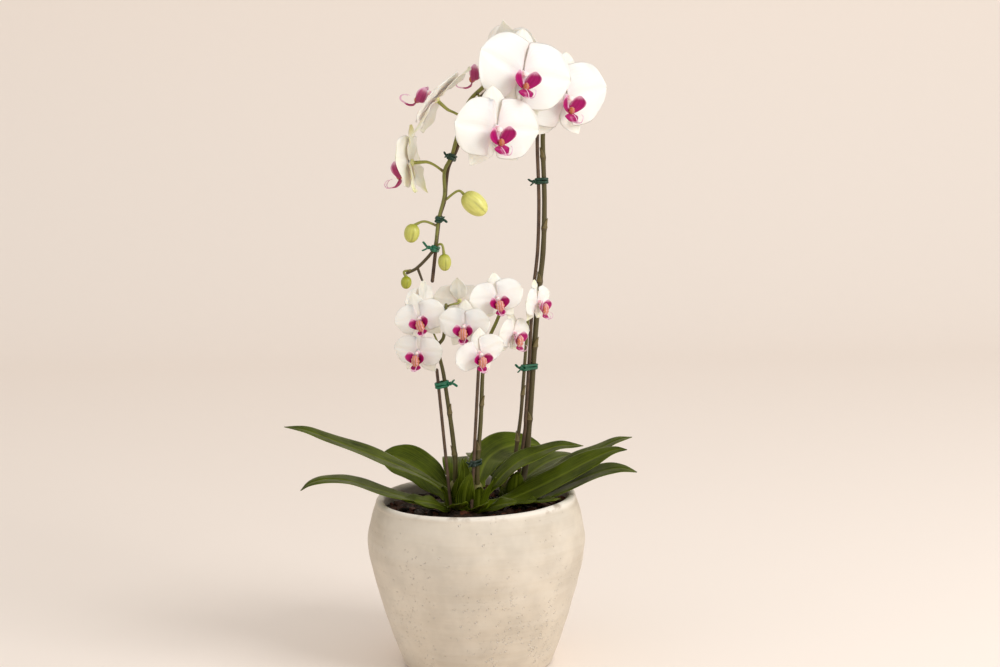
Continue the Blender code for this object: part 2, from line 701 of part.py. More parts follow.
def bark_chips():
    """Flat chips of bark, scattered on the mix by a seeded draw and kept clear of the crowns and the wall."""
    draw = random.Random(CHIP_SEED)
    kept_clear = [crown[:2] for crown in CROWNS.values()]
    kept_clear += [STAKE_LEFT[0], STAKE_MIDDLE[0], WIRE_ENTRY]
    chips = []
    placed = []
    while len(chips) < CHIP_COUNT:
        radius = CHIP_FIELD * math.sqrt(draw.random())
        angle = draw.uniform(0, 2 * math.pi)
        place = (radius * math.cos(angle), radius * math.sin(angle))
        turn = draw.uniform(0, math.pi)
        lean, tip = (draw.uniform(-CHIP_LEAN, CHIP_LEAN) for _ in range(2))
        if min(math.dist(place, other) for other in kept_clear) < CHIP_CLEARANCE:
            continue
        if placed and min(math.dist(place, other) for other in placed) < CHIP_SPACING:
            continue
        placed.append(place)
        scale = draw.uniform(0.75, 1.15)
        half = [scale * side / 2 for side in CHIP_SIZE]
        corners = np.array([(x, y, z) for x in (-1, 1) for y in (-1, 1) for z in (-1, 1)], float)
        corners *= half
        corners[:, :2] *= 1 + 0.25 * np.array([[draw.uniform(-1, 1) for _ in range(2)] for _ in range(8)])
        along = unit((math.cos(turn), math.sin(turn), lean))
        across = unit(np.cross((math.sin(turn) * tip, -math.cos(turn) * tip, 1.0), along))
        centre = np.array((*place, MIX_LEVEL + CHIP_SINK))
        points = centre + corners @ np.stack([along, across, np.cross(along, across)])
        faces = [(0, 1, 3, 2), (4, 6, 7, 5), (0, 4, 5, 1), (2, 3, 7, 6), (0, 2, 6, 4), (1, 5, 7, 3)]
        chips.append(mesh_object("chip", points, faces))
    for chip in chips:
        merged(chip.data)
    return chips


def hole_cutter(place, foot, radius, sides, lean=(0.0, 0.0)):
    """A round cutter from just under a stem's foot to above the mix. Its flats clear the stem by the gap."""
    outer = (radius + GAP) / math.cos(math.pi / sides)
    angles = [2 * math.pi * i / sides for i in range(sides)]
    points = []
    for height in (foot - GAP, HOLE_TOP):
        x = place[0] + lean[0] * (height - MIX_LEVEL)
        y = place[1] + lean[1] * (height - MIX_LEVEL)
        points += [(x + outer * math.cos(a), y + outer * math.sin(a), height) for a in angles]
    ring = range(sides)
    faces = [(i, (i + 1) % sides, sides + (i + 1) % sides, sides + i) for i in ring]
    faces += [tuple(reversed(ring)), tuple(range(sides, 2 * sides))]
    cutter = mesh_object("hole_cutter", points, faces)
    merged(cutter.data)
    return cutter


def stake_lean(stake):
    (x, y), top = stake
    rise = top[2] - MIX_LEVEL
    return (top[0] - x) / rise, (top[1] - y) / rise


def make_potting_mix():
    mix = turned("potting_mix", mix_outline(), POT_SEGMENTS)
    boolean_with(mix, bark_chips(), "UNION")
    set_vertices(mix.data, lopsided(vertex_array(mix.data)))
    cutters = [hole_cutter(crown[:2], CROWN_FOOT, crown[2], CROWN_HOLE_SIDES) for crown in CROWNS.values()]
    loose_stake = STAKE_RADIUS + GAP / 2
    for stake in (STAKE_LEFT, STAKE_MIDDLE):
        cutters.append(hole_cutter(stake[0], STAKE_FOOT, loose_stake, STAKE_HOLE_SIDES, stake_lean(stake)))
    cutters.append(hole_cutter(WIRE_ENTRY, WIRE_FOOT, WIRE_RADIUS + GAP / 2, STAKE_HOLE_SIDES))
    boolean_with(mix, cutters, "DIFFERENCE")
    finish_node(mix, "potting_mix", "bark")


def crown_section(name):
    """Heights up a crown and its radius at each: straight where it stands in the mix, then tapering."""
    _, _, radius, top = CROWNS[name]
    shape = [*CROWN_SHAPE, *((top + above, share) for above, share in CROWN_TOP_SHAPE)]
    return [height for height, _ in shape], [radius * share for _, share in shape]


def crown_tube(name):
    x, y = CROWNS[name][:2]
    heights, radii = crown_section(name)
    return tube("crown", np.array([(x, y, height) for height in heights]), radii, CROWN_SIDES)


def spike_path(name):
    routes = {
        "tall": SPIKE_TALL_ROUTE,
        "left": SPIKE_LEFT_ROUTE,
        "middle": SPIKE_MIDDLE_ROUTE,
        "rear": SPIKE_REAR_ROUTE,
    }
    return sparse(smooth_path(routes[name], 0.002), SPIKE_BEND, SPIKE_LONGEST)


def spike_radii(name, path):
    """An even taper along a spike, by length."""
    along = np.concatenate([[0], np.cumsum(np.linalg.norm(np.diff(path, axis=0), axis=1))])
    return np.interp(along / along[-1], (0, 1), SPIKE_RADII[name])


def bloom_axes(turn, pitch, roll):
    """The bloom's own directions, as rows: to its right as seen from the front, up, and out of its face."""
    a, p, r = (math.radians(angle) for angle in (turn, pitch, roll))
    out = np.array((math.sin(a) * math.cos(p), -math.cos(a) * math.cos(p), math.sin(p)))
    right = np.array((math.cos(a), math.sin(a), 0.0))
    up = np.cross(out, right)
    return np.stack(
        [math.cos(r) * right + math.sin(r) * up, math.cos(r) * up - math.sin(r) * right, out]
    )


def bezier(a, b, c, d, count):
    t = np.linspace(0, 1, count)[:, None]
    return (1 - t) ** 3 * a + 3 * (1 - t) ** 2 * t * b + 3 * (1 - t) * t**2 * c + t**3 * d


def stalk_path(bloom, path):
    """From inside the spike, in an arc, to the gap behind the bloom, which it meets from straight behind."""
    kind, _, centre, turn, pitch, roll, _, place = BLOOMS[bloom][:8]
    out = bloom_axes(turn, pitch, roll)[2]
    start = closest_point(path, place)
    end = np.array(centre) - (RECEPTACLE_BACK * BLOOM_SCALE[kind] + GAP) * out
    behind = end - STALK_STRAIGHT[kind] * out
    reach = np.linalg.norm(behind - start)
    lift = start + 0.45 * reach * unit(unit(behind - start) + (0, 0, STALK_LIFT))
    arc = bezier(start, lift, behind - 0.25 * reach * out, behind, 5)
    return np.vstack([arc, end])


def make_spike(name):
    """One flower spike with its crown, its flower stalks and, on the tall one, its buds: one grown piece."""
    path = spike_path(name)
    stem = tube("stem", path, spike_radii(name, path), SPIKE_SIDES)
    parts = [crown_tube(name)]
    for bloom, row in BLOOMS.items():
        if row[6] == name:
            radius = STALK_RADIUS[row[0]]
            stalk = stalk_path(bloom, path)
            parts.append(tube("stalk", stalk, radius, STALK_SIDES))
    if name == "tall":
        parts += bud_parts(path)
        parts.append(tube("spur", np.array(SPUR[:2]), SPUR[2], STALK_SIDES))
    boolean_with(stem, parts, "UNION")
    finish_node(stem, "spike_" + name, "spike")


def bud_parts(path):
    """Each bud, an egg shape, with its stalk, which ends inside it."""
    parts = []
    for place, bend, centre, half_length, half_width, tip in BUDS:
        axis = unit(tip)
        centre = np.array(centre)
        back = centre - half_length * 0.8 * axis
        start = closest_point(path, place)
        route = sparse(smooth_path([start, bend, back], 0.001), BUD_STALK_BEND, BUD_STALK_LONGEST)
        parts.append(tube("bud_stalk", route, BUD_STALK_RADIUS, STALK_SIDES))
        parts.append(ellipsoid("bud", centre, axis, half_length, half_width, BUD_SIDES, BUD_RINGS))
    return parts


def wire_path():
    """The wire's route: beside the tall spike, with its foot straight down in the mix, and cut at its end."""
    spike = smooth_path(SPIKE_TALL_ROUTE, 0.006)
    along = np.linspace(0, 1, len(spike))
    shares = [share for share, _ in WIRE_SIDES]
    sides = np.array([side for _, side in WIRE_SIDES])
    wanted = np.stack([np.interp(along, shares, sides[:, axis]) for axis in range(3)], axis=1)
    heading = tangents(spike)
    wanted -= heading * (wanted * heading).sum(1)[:, None]
    wanted /= np.linalg.norm(wanted, axis=1)[:, None]
    beside = spike + WIRE_OFFSET * wanted
    first = next(i for i in range(len(spike)) if spike[i][2] > WIRE_START_HEIGHT)
    top = int(np.argmax(spike[:, 2]))
    last = next(i for i in range(top, len(spike)) if spike[i][2] < WIRE_LAST_HEIGHT)
    above = smooth_path([(*WIRE_ENTRY, WIRE_BEND_HEIGHT), *beside[first:last:3], WIRE_CUT_END], 0.002)
    return np.vstack([(*WIRE_ENTRY, WIRE_FOOT), sparse(above, SPIKE_BEND, SPIKE_LONGEST)])


def stake_path(stake):
    """A straight stake from its foot in the mix to its top."""
    lean = stake_lean(stake)
    (x, y), top = stake
    drop = STAKE_FOOT - MIX_LEVEL
    return np.array(((x + lean[0] * drop, y + lean[1] * drop, STAKE_FOOT), top))


def make_supports():
    wire = wire_path()
    finish_node(tube("support_wire", wire, WIRE_RADIUS, SUPPORT_SIDES), "support_wire", "coated_wire")
    for name, stake in (("stake_left", STAKE_LEFT), ("stake_middle", STAKE_MIDDLE)):
        finish_node(tube(name, stake_path(stake), STAKE_RADIUS, SUPPORT_SIDES), name, "coated_wire")


def leaf_grid(name):
    """A leaf's middle surface: across the rib by the half width, folded up into a channel along it."""
    crown, base_height, heading, route, half_width, widest, upper, fold = LEAVES[name]
    x, y = CROWNS[crown][:2]
    turn = math.radians(heading)
    reach = float(np.interp(base_height, *crown_section(crown))) + LEAF_SEAT
    base = (x + reach * math.cos(turn), y + reach * math.sin(turn), base_height)
    rib = smooth_path([base, *route], 0.002)
    rib = rib[np.round(np.linspace(0, len(rib) - 1, LEAF_ROWS)).astype(int)]
    s = np.linspace(0, 1, LEAF_ROWS)
    bulge = np.where(s < widest, s / widest, 1 + (s - widest) / (1 - widest))
    width = np.sin(bulge * math.pi / 2) ** 0.75 * half_width
    width = np.maximum(width, np.interp(s, (0, 0.5, 1), (LEAF_BASE_HALF_WIDTH, 0, LEAF_TIP_HALF_WIDTH)))
    width = np.minimum(width, np.interp(s, (0, 0.12, 0.3), (LEAF_BASE_HALF_WIDTH, LEAF_NECK_HALF_WIDTH, 0.1)))
    heading_to = tangents(rib)
    across = np.cross(heading_to, unit(upper))
    across /= np.linalg.norm(across, axis=1)[:, None]
    normal = np.cross(across, heading_to)
    t = np.linspace(-1, 1, LEAF_COLUMNS)
    side = (width[:, None] * t)[..., None] * across[:, None, :]
    lift = (fold * width[:, None] * np.abs(t) ** 1.3)[..., None] * normal[:, None, :]
    return rib[:, None, :] + side + lift


def make_leaves():
    for name in LEAVES:
        finish_node(blade(name, leaf_grid(name), LEAF_THICKNESS), name, "leaf")


def petal_width(s):
    """Share of the half width along a petal: a narrow claw, then a broad kidney shape with a round end."""
    body = (1 - np.abs(2 * s**0.9 - 1) ** 2.3) ** 0.6
    return np.clip(np.maximum(body, 0.09), 0, 1)


def sepal_width(s):
    """Share of the half width along a sepal: broad from the base, with a blunt point."""
    body = (1 - np.abs(2 * s**0.85 - 1) ** 2) ** 0.75
    return np.clip(np.maximum(body, 0.17), 0, 1)


def tepal_grid(size, grid, width_of, angle, tilt, offset, cup, arch, shoulder, wave, phase):
    """A petal's or sepal's middle surface, in the bloom's own directions.

    It runs out from the centre at an angle in the face and leans forward by the tilt. It bends back along its
    length by the arch and across its width by the cup, and its margins wave."""
    length, half_width = size
    rows, columns = grid
    s = np.sin(np.linspace(0.02, 0.965, rows) * math.pi / 2) ** 1.15
    s[0] = 0.0
    s[-1] = 0.985
    t = np.linspace(-1, 1, columns)
    width = half_width * width_of(s)
    along = TEPAL_START + length * s
    lift = -arch * length * s[:, None] ** 2 - cup * width[:, None] * t[None, :] ** 2
    lift = lift + wave * np.sin(2 * math.pi * s[:, None] * 1.3 + phase) * t[None, :] * np.abs(t[None, :])
    out = np.array((math.cos(angle), math.sin(angle), 0.0))
    side = np.array((-math.sin(angle), math.cos(angle), 0.0))
    front = np.array((0.0, 0.0, 1.0))
    lean_out = math.cos(tilt) * out + math.sin(tilt) * front
    lean_front = math.cos(tilt) * front - math.sin(tilt) * out
    # The outer columns fall back a little along the blade, and more where it has shoulders
    fall = TEPAL_ROUND + shoulder * np.exp(-(((s - PETAL_SHOULDER[1]) / PETAL_SHOULDER[2]) ** 2))
    reach = along[:, None] - (fall * width)[:, None] * t[None, :] ** 2
    return (
        reach[..., None] * lean_out
        + (width[:, None] * t)[..., None] * side
        + lift[..., None] * lean_front
        + offset * front
    )


def bloom_tepals(name):
    """The five tepals' grids in the bloom's own directions, with a small seeded difference in each bloom."""
    row = BLOOMS[name]
    kind, size, right, left = row[0], row[1], row[8], row[9]
    draw = random.Random(TEPAL_SEED + list(BLOOMS).index(name))
    scale = BLOOM_SCALE[kind]
    # Size, grid and width of each, then its angle and tilt in degrees, its offset forward, its cup, its arch
    # and its shoulders
    petal_shoulder = PETAL_SHOULDER[0]
    rows = (
        (PETAL_SIZE, PETAL_GRID, petal_width, right, 4, 0.0013, 0.10, 0.05, petal_shoulder),
        (PETAL_SIZE, PETAL_GRID, petal_width, left, 4, 0.0010, 0.10, 0.05, petal_shoulder),
        (DORSAL_SIZE, SEPAL_GRID, sepal_width, 90, -4, -0.0007, 0.12, 0.06, 0.0),
        (LATERAL_SIZE, SEPAL_GRID, sepal_width, -54, -6, -0.0009, 0.14, 0.10, 0.0),
        (LATERAL_SIZE, SEPAL_GRID, sepal_width, -126, -7, -0.0013, 0.14, 0.10, 0.0),
    )
    for sizes, grids, width_of, angle, tilt, offset, cup, arch, shoulder in rows:
        length, half_width = sizes[kind]
        vary = size * draw.uniform(*TEPAL_VARIES)
        yield tepal_grid(
            (length * vary, half_width * vary),
            grids[kind],
            width_of,
            math.radians(angle + draw.uniform(-TEPAL_SWING, TEPAL_SWING)),
            math.radians(tilt + draw.uniform(-TEPAL_NOD, TEPAL_NOD)),
            offset * scale,
            cup,
            arch,
            shoulder,
            TEPAL_WAVE * scale,
            draw.uniform(0, 2 * math.pi),
        )


def placed_grid(name, grid):
    """A grid from the bloom's own directions to the world."""
    centre, turn, pitch, roll = BLOOMS[name][2:6]
    return np.array(centre) + grid @ bloom_axes(turn, pitch, roll)


def bloom_core(name):
    """The swelling behind the centre and the column in front, turned as one shape."""
    scale = BLOOM_SCALE[BLOOMS[name][0]]
    core = turned("core", [(scale * r, scale * z) for r, z in CORE_OUTLINE], CORE_SIDES)
    set_vertices(core.data, placed_grid(name, vertex_array(core.data)))
    return merged_object(core)


def make_bloom(name):
    """A bloom's two petals, three sepals and column, which grow as one piece on the swelling behind them."""
    parts = [blade("tepal", placed_grid(name, grid), TEPAL_THICKNESS) for grid in bloom_tepals(name)]
    core = boolean_with(bloom_core(name), parts, "UNION")
    finish_node(core, name, "petal")


def lip_sheet(kind):
    """The lip as one folded sheet in the bloom's own directions: its points and its faces.

    A strip runs forward from the claw and down into the middle lobe. On each side of its upper half a side
    lobe rises beside the column, and two tendrils curl back from its tip."""
    scale = LIP_SCALE[kind]
    rows = LIP_STRIP[kind]
    points = []
    for y, z, half in rows:
        raised = (y + 0.2 * half, z + 0.1 * half)
        points += [(-half, *raised), (0.0, y, z), (half, *raised)]
    faces = []
    for row in range(len(rows) - 1):
        a = 3 * row
        faces += [(a, a + 1, a + 4, a + 3), (a + 1, a + 2, a + 5, a + 4)]
    steps = LIP_LOBE_STEPS[kind]
    for hand in (-1, 1):
        edge = [3 * row + 1 + hand for row in (1, 2, 3)]
        for step in range(1, steps + 1):
            u = step / steps
            out = LOBE_OUT[0] + LOBE_OUT[1] * math.sin(0.5 * math.pi * u)
            forward = LOBE_FORWARD[0] + LOBE_FORWARD[1] * u
            half = LOBE_HALF_WIDTH[0] + LOBE_HALF_WIDTH[1] * math.sin(math.pi * (0.12 + 0.74 * u))
            grown = []
            for j in (-1, 0, 1):
                x = hand * (out + LOBE_FLARE * j * half - LOBE_CURL * j * j)
                grown.append(len(points))
                points.append((x, LOBE_RISE[0] - LOBE_RISE[1] * (1 - u), forward + LOBE_REACH * j * half))
            for k in (0, 1):
                quad = (edge[k], edge[k + 1], grown[k + 1], grown[k])
                faces.append(quad if hand < 0 else quad[::-1])
            edge = grown
        tip = [3 * (len(rows) - 1) + k for k in ((1, 2) if hand > 0 else (0, 1))]
        for x, y, z in LIP_TENDRIL[kind]:
            inner, outer = hand * (x - TENDRIL_WIDTH / 2), hand * (x + TENDRIL_WIDTH / 2)
            pair = (inner, outer) if hand > 0 else (outer, inner)
            grown = [len(points), len(points) + 1]
            points += [(pair[0], y, z), (pair[1], y, z)]
            faces.append((tip[0], tip[1], grown[1], grown[0]))
            tip = grown
    return np.array(points) * scale, faces


def make_lip(name):
    """The lip, a piece of its own that stands just clear in front of the column's foot."""
    points, quads = lip_sheet(BLOOMS[name][0])
    faces = [half for a, b, c, d in quads for half in ((a, b, c), (a, c, d))]
    lip = mesh_object("lip", placed_grid(name, points), faces)
    modifier = lip.modifiers.new("thickness", "SOLIDIFY")
    modifier.thickness = TEPAL_THICKNESS
    modifier.offset = 0.0
    bake_modifiers(lip)
    finish_node(lip, name.replace("bloom", "lip"), "lip")


def hull(points):
    """The corners of the convex outline round the points of a plane, in order."""
    points = sorted(map(tuple, points))
    sides = []
    for line in (points, points[::-1]):
        chain = []
        for point in line:
            while len(chain) > 1:
                (ax, ay), (bx, by) = chain[-2:]
                if (bx - ax) * (point[1] - ay) - (by - ay) * (point[0] - ax) > 0:
                    break
                chain.pop()
            chain.append(point)
        sides += chain[:-1]
    return sides


def held_stems():
    """Route and radius along each stem that a tie may hold."""
    stems = {}
    for name in CROWNS:
        path = spike_path(name)
        stems[name] = (path, spike_radii(name, path))
    wire = wire_path()
    stems["wire"] = (wire, np.full(len(wire), WIRE_RADIUS))
    for name, stake in (("stake_left", STAKE_LEFT), ("stake_middle", STAKE_MIDDLE)):
        path = stake_path(stake)
        stems[name] = (path, np.full(len(path), STAKE_RADIUS))
    return stems


def section_at(path, radii, centre, axis):
    """Where a stem crosses the plane through the centre square to the axis, nearest to it, and its radius."""
    side = (path - centre) @ axis
    best = None
    for i in range(len(path) - 1):
        if side[i] * side[i + 1] <= 0 and side[i] != side[i + 1]:
            share = side[i] / (side[i] - side[i + 1])
            place = path[i] + share * (path[i + 1] - path[i])
            distance = np.linalg.norm(place - centre)
            if best is None or distance < best[0]:
                best = (distance, place, max(radii[i], radii[i + 1]))
    return best[1], best[2]


def make_tie(name, stems):
    """A tie: a closed loop drawn tight round the stems that it holds, with its two twisted ends."""
    held, centre, reach, towards = TIES[name]
    centre = np.array(centre)
    path = stems[held[0]][0]
    axis = tangents(path)[nearest(path, centre)]
    first = unit(np.cross(axis, (0.0, 1.0, 0.15)))
    second = np.cross(axis, first)
    ring = np.linspace(0, 2 * math.pi, 24, endpoint=False)
    flat = []
    for stem in held:
        place, radius = section_at(*stems[stem], centre, axis)
        grown = radius + TIE_RADIUS + TIE_CLEARANCE
        x, y = (place - centre) @ first, (place - centre) @ second
        flat += [(x + grown * math.cos(a), y + grown * math.sin(a)) for a in ring]
    corners = np.array([centre + x * first + y * second for x, y in hull(flat)])
    closed = np.vstack([corners, corners[:1]])
    along = np.concatenate([[0], np.cumsum(np.linalg.norm(np.diff(closed, axis=0), axis=1))])
    wanted = np.linspace(0, along[-1], TIE_POINTS, endpoint=False)
    loop = np.stack([np.interp(wanted, along, closed[:, k]) for k in range(3)], axis=1)
    base = tube("loop", loop, TIE_RADIUS, TIE_SIDES, cyclic=True)
    direction = unit(towards)
    start = loop[int(np.argmax(loop @ direction))]
    ends = []
    for hand in (-1, 1):
        tip = start + reach * unit(direction + hand * 0.45 * axis)
        ends.append(tube("end", np.array((start, tip)), TIE_RADIUS * 0.85, TIE_SIDES))
    boolean_with(base, ends, "UNION")
    finish_node(base, name, "twist_tie")


def main():
    clear_scene()
    make_pot()
    make_potting_mix()
    for name in CROWNS:
        make_spike(name)
    make_supports()
    stems = held_stems()
    for name in TIES:
        make_tie(name, stems)
    make_leaves()
    for name in BLOOMS:
        make_bloom(name)
        make_lip(name)


main()
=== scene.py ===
"""Potted orchid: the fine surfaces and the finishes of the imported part, and the studio that it stands in.

Each piece is a surface worked out on a grid, in metres, in the part's own frame: +Z is up and the front of the
arrangement looks along -Y. A piece keeps the form of the CAD nodes that it replaces."""

import math
import random

import bpy
import numpy as np
from bpy.props import FloatProperty, FloatVectorProperty, IntProperty, PointerProperty
from mathutils import Matrix, Vector


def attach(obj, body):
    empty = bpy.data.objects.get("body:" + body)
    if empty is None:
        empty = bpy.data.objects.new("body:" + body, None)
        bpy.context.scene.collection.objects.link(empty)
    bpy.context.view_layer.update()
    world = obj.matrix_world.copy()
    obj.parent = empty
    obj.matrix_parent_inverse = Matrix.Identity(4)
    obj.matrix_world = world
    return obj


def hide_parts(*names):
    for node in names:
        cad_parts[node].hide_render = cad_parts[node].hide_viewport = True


bl_info = {
    "name": "Potted Orchid",
    "version": (1, 0, 0),
    "blender": (4, 5, 0),
    "location": "3D View > Sidebar > Orchid",
    "description": "Builds a potted moth orchid piece by piece round its packed frame",
    "category": "Object",
}

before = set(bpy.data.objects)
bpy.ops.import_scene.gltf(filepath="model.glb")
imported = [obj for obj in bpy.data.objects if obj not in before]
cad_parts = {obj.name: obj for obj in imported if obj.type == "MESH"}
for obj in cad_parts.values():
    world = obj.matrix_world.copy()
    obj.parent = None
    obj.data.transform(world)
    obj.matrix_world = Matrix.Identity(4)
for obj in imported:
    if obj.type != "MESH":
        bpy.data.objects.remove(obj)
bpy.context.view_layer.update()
TURN = 2 * math.pi


def mm(text):
    """Points from text in millimetres: a comma between points, a blank between the numbers of one."""
    return np.array([[float(word + "e-3") for word in point.split()] for point in text.split(",")])


def table(text):
    """Rows from text: words, then groups of numbers after commas. A semicolon ends a row."""
    for row in text.split(";")[:-1]:
        words, *groups = row.split(",")
        yield words.split(), groups


def floats(text):
    return [float(word) for word in text.split()]


# Pot: radius and height up the outside
POT_OUTLINE = mm("81.5 6, 89 26, 100.1 61, 110.8 101, 116 130, 115.3 146, 111.5 165, 106.8 179")
POT_HEIGHT = 0.184
POT_FLOOR = 0.012
POT_FOOT_ROUND = 0.006
POT_FLOOR_FILLET = 0.014
POT_OUT_OF_ROUND = 0.007
POT_RIM_SLOPE = 0.025
# Heights between which the inner wall is drawn
POT_INSIDE = (0.1775, 0.030)
# Where a round surface starts beside its axis, before the flat face that closes it
POLE_RADIUS = 0.002
POT_WALL = 0.0085
MIX_LEVEL = 0.166
MIX_DOME = 0.002
MIX_RADIUS = 0.0985

# Crowns: x, y, radius and top, then (height, share of the radius) up each, and the same below its top
CROWNS = dict(zip(
    ("left", "middle", "tall", "rear"), mm("-22 -5 8.5 200, 2 -16 8.5 200, 40 8 9 200, 33 37 7 196")))
CROWN_SHAPE = ((0.138, 1.0), (0.172, 1.0), (0.186, 0.92))
CROWN_TOP_SHAPE = ((-0.004, 0.72), (0.0, 0.45))

# Flower spikes: route, radius at the foot and at the tip, freshness along it (0 brown, 1 green), and places of
# the nodes, each with its bract
SPIKES = {
    "tall": (
        mm("""40 8 180, 47 22 186, 54 30 206, 60 28 270, 66 26 346, 71 26 400, 76 25 443, 78 25 497, 77 25
        559, 79 24 600, 74 19 628, 59 12 642, 38 1 639, 18 -11 620, 1 -21 604, -8 -26 583, -18 -28 549, -26
        -30 532, -26.5 -30 508, -33 -30 483, -37 -30 456, -42 -30 447, -56 -30 433, -66.5 -30 427.5"""),
        (0.0035, 0.0016),
        ((0.0, 0.16), (0.48, 0.24), (0.56, 0.5), (0.66, 0.74), (0.93, 0.66), (0.96, 0.1), (1.0, 0.16)),
        mm("59 28.5 260, 65.5 26 340, 72.5 26 410, 77.5 25 467, 77.2 25 542"),
    ),
    "left": (
        mm("""-22 -6 190, -21 -10 222, -24 -10 257, -28 -10 289, -32 -10 319, -37 -10 345, -31 -8 356, -29
        -2 374, -28 4 389"""),
        (0.0028, 0.0017),
        ((0.0, 0.34), (0.6, 0.3), (0.8, 0.42), (1.0, 0.6)),
        mm("-21.2 -10 229, -26 -10 274"),
    ),
    "middle": (
        mm("""2 -17 190, 3 -21 226, 7 -22 269, 10 -22 320, 14 -22 344, 17 -20 356, 25 -19 373, 30 -19
        385"""),
        (0.0027, 0.0017),
        ((0.0, 0.3), (0.6, 0.34), (0.8, 0.62), (1.0, 0.8)),
        mm("4 -21.5 238, 8 -22 285"),
    ),
    "rear": (
        mm("""34 35 186, 40 26 204, 49 19 260, 53 17 304, 56 16 338, 57.5 14 356, 59 10 376, 59.5 7 385"""),
        (0.0023, 0.0016),
        ((0.0, 0.1), (0.6, 0.16), (0.85, 0.5), (1.0, 0.8)),
        mm("45.5 21.5 238, 51.5 17.8 288"),
    ),
}
SPUR = mm("-56 -30 433, -51.5 -30 420")

# Support wire beside the tall spike, and the side that it runs on at fractions of the spike's length
WIRE_ENTRY = (0.0425, 0.0310)
WIRE_OFFSET = 0.0059
WIRE_FOOT = 0.100
WIRE_BEND_HEIGHT = 0.174
WIRE_START_HEIGHT = 0.240
WIRE_LAST_HEIGHT = 0.4560
WIRE_CUT_END = (-0.0410, -0.0235, 0.4180)
WIRE_SIDES = np.array([floats(row) for row in """0 -0.7 -0.7 0, 0.22 -0.8 -0.6 0, 0.32 -1 0 0, 0.42 -1 0 -0.2,
    0.5 -0.5 0 -1, 0.6 0.1 0 -1, 0.7 1 0.3 -0.6, 0.8 0.6 0.9 0, 0.9 0.1 1 0, 1 0.1 1 0""".split(",")])
# Stakes: x and y where each enters the mix, then its top
STAKE_FOOT = 0.080
STAKES = {
    "stake_left": ((-0.0255, -0.0200), (-0.0385, -0.0130, 0.3220)),
    "stake_middle": ((-0.0050, -0.0300), (0.0057, -0.0242, 0.3260)),
}

# Twist ties: name and the stems held, a place near the tie and how far its ends stand out (mm), then where to,
# and freshness of the green
TIES = {
    "tie_" + name: (held, mm(place)[0], floats(end))
    for (name, *held), (place, end) in table("""
wire_top tall wire, 74 25 517 8, -1 -0.5 -0.3 0.15;
wire_low tall wire rear, 58 22 318 10, -0.7 -0.8 0.2 0.6;
stake_left left stake_left, -35.5 -12 306 10, 1 -0.5 0.1 1;
stake_middle middle stake_middle, 1 -23 224 5, -0.8 -0.6 0 0;
hanging_top tall wire, -19.5 -27 547 6, -0.8 -0.6 0.2 0.15;
hanging_mid tall wire, -34 -29 483 7, 0.8 -0.6 0.5 0.2;
hanging_low tall wire, -38.5 -28 452.5 11, -1 -0.4 0 0.8;""")
}
TIE_RADIUS = 0.0011
TIE_CLEARANCE = 0.0004
TIE_TURNS = 2.86


def leaf_rows(text):
    """Leaves: name and crown, height on it and half width (mm), heading in degrees, length fraction of the
    widest place and how far the blade folds up, which way the upper face looks, then the rib's route after
    the base."""
    return {
        name: (crown, *mm(sizes)[0], *floats(form), floats(upper), mm(",".join(route)))
        for (name, crown), (sizes, form, upper, *route) in table(text)
    }


LEAVES = leaf_rows("""
leaf_left_long left, 188 18, 191 0.5 0.16, 0.1 -0.2 1, -48.5 -8 201, -72.4 -14 215, -100.4 -20 228.5, -130.2
  -27 242.5, -156.8 -33 255, -177 -38 264, -198.4 -42 269;
leaf_left_back left, 180 23.5, 142 0.58 0.14, 0.35 -0.8 0.6, -43 15 190, -56 29 201, -74 45 210, -91 58 214,
  -107 69 212;
leaf_left_low left, 174 19, 205 0.52 0.12, 0.05 -0.14 1, -52 -20 180, -74 -30 188.5, -94.9 -38 196.5, -115.2
  -46 205, -135.3 -54 213, -155.6 -60 215.7, -170.9 -64 212.6, -180.7 -66 206;
leaf_left_inner left, 190 15, 86 0.55 0.14, 0.05 -0.6 0.8, -22 16 201, -21.5 33 211, -21.5 53 213, -22 73
  205;
leaf_middle_inner middle, 185 8.5, 160 0.5 0.1, 0.85 -0.35 0.45, -11 -8.5 199, -11 1 212, -10 12 222;
leaf_middle_back middle, 193 21.5, 82 0.5 0.14, -0.2 -0.75 0.6, 6 8 204.5, 13 31 215, 29 53 222.5, 51 69
  224, 74 79 218.5;
leaf_middle_arched middle, 186.5 16, 12 0.46 0.14, 0 -0.25 1, 20 -13 196, 31 -9 208, 48.1 -5 220.5, 69.8 -1
  229, 91.4 3 234.5, 116.3 6 234;
leaf_middle_long middle, 176 19.5, -12 0.5 0.12, 0 -0.42 0.9, 24 -19 179, 42 -22 184.5, 68.7 -26 197.5, 95.1
  -31 211.5, 121.3 -36 226.5, 144.3 -40 237.5, 159.8 -43 239.5;
leaf_tall_long tall, 188 19, 4 0.5 0.12, 0 -0.12 1, 62 11 197, 91.3 14 207.5, 124 19 221.5, 151.3 23 234.5,
  169.8 26 238.7;
leaf_tall_low tall, 176 20, -42 0.52 0.12, 0 -0.22 1, 60 -14 182, 77 -26 189, 100.2 -33 201, 131.7 -37 214,
  152.6 -40 218.5, 170.3 -42 215;
leaf_rear_side rear, 178 20, 38 0.52 0.14, 0 -0.1 1, 56 56 190, 78 72 201, 102 86 206, 123 95 200;
leaf_rear_back rear, 184 20, 112 0.52 0.14, 0 0 1, 22 60 196, 13 82 206, 3 106 206, -6 127 196;""")
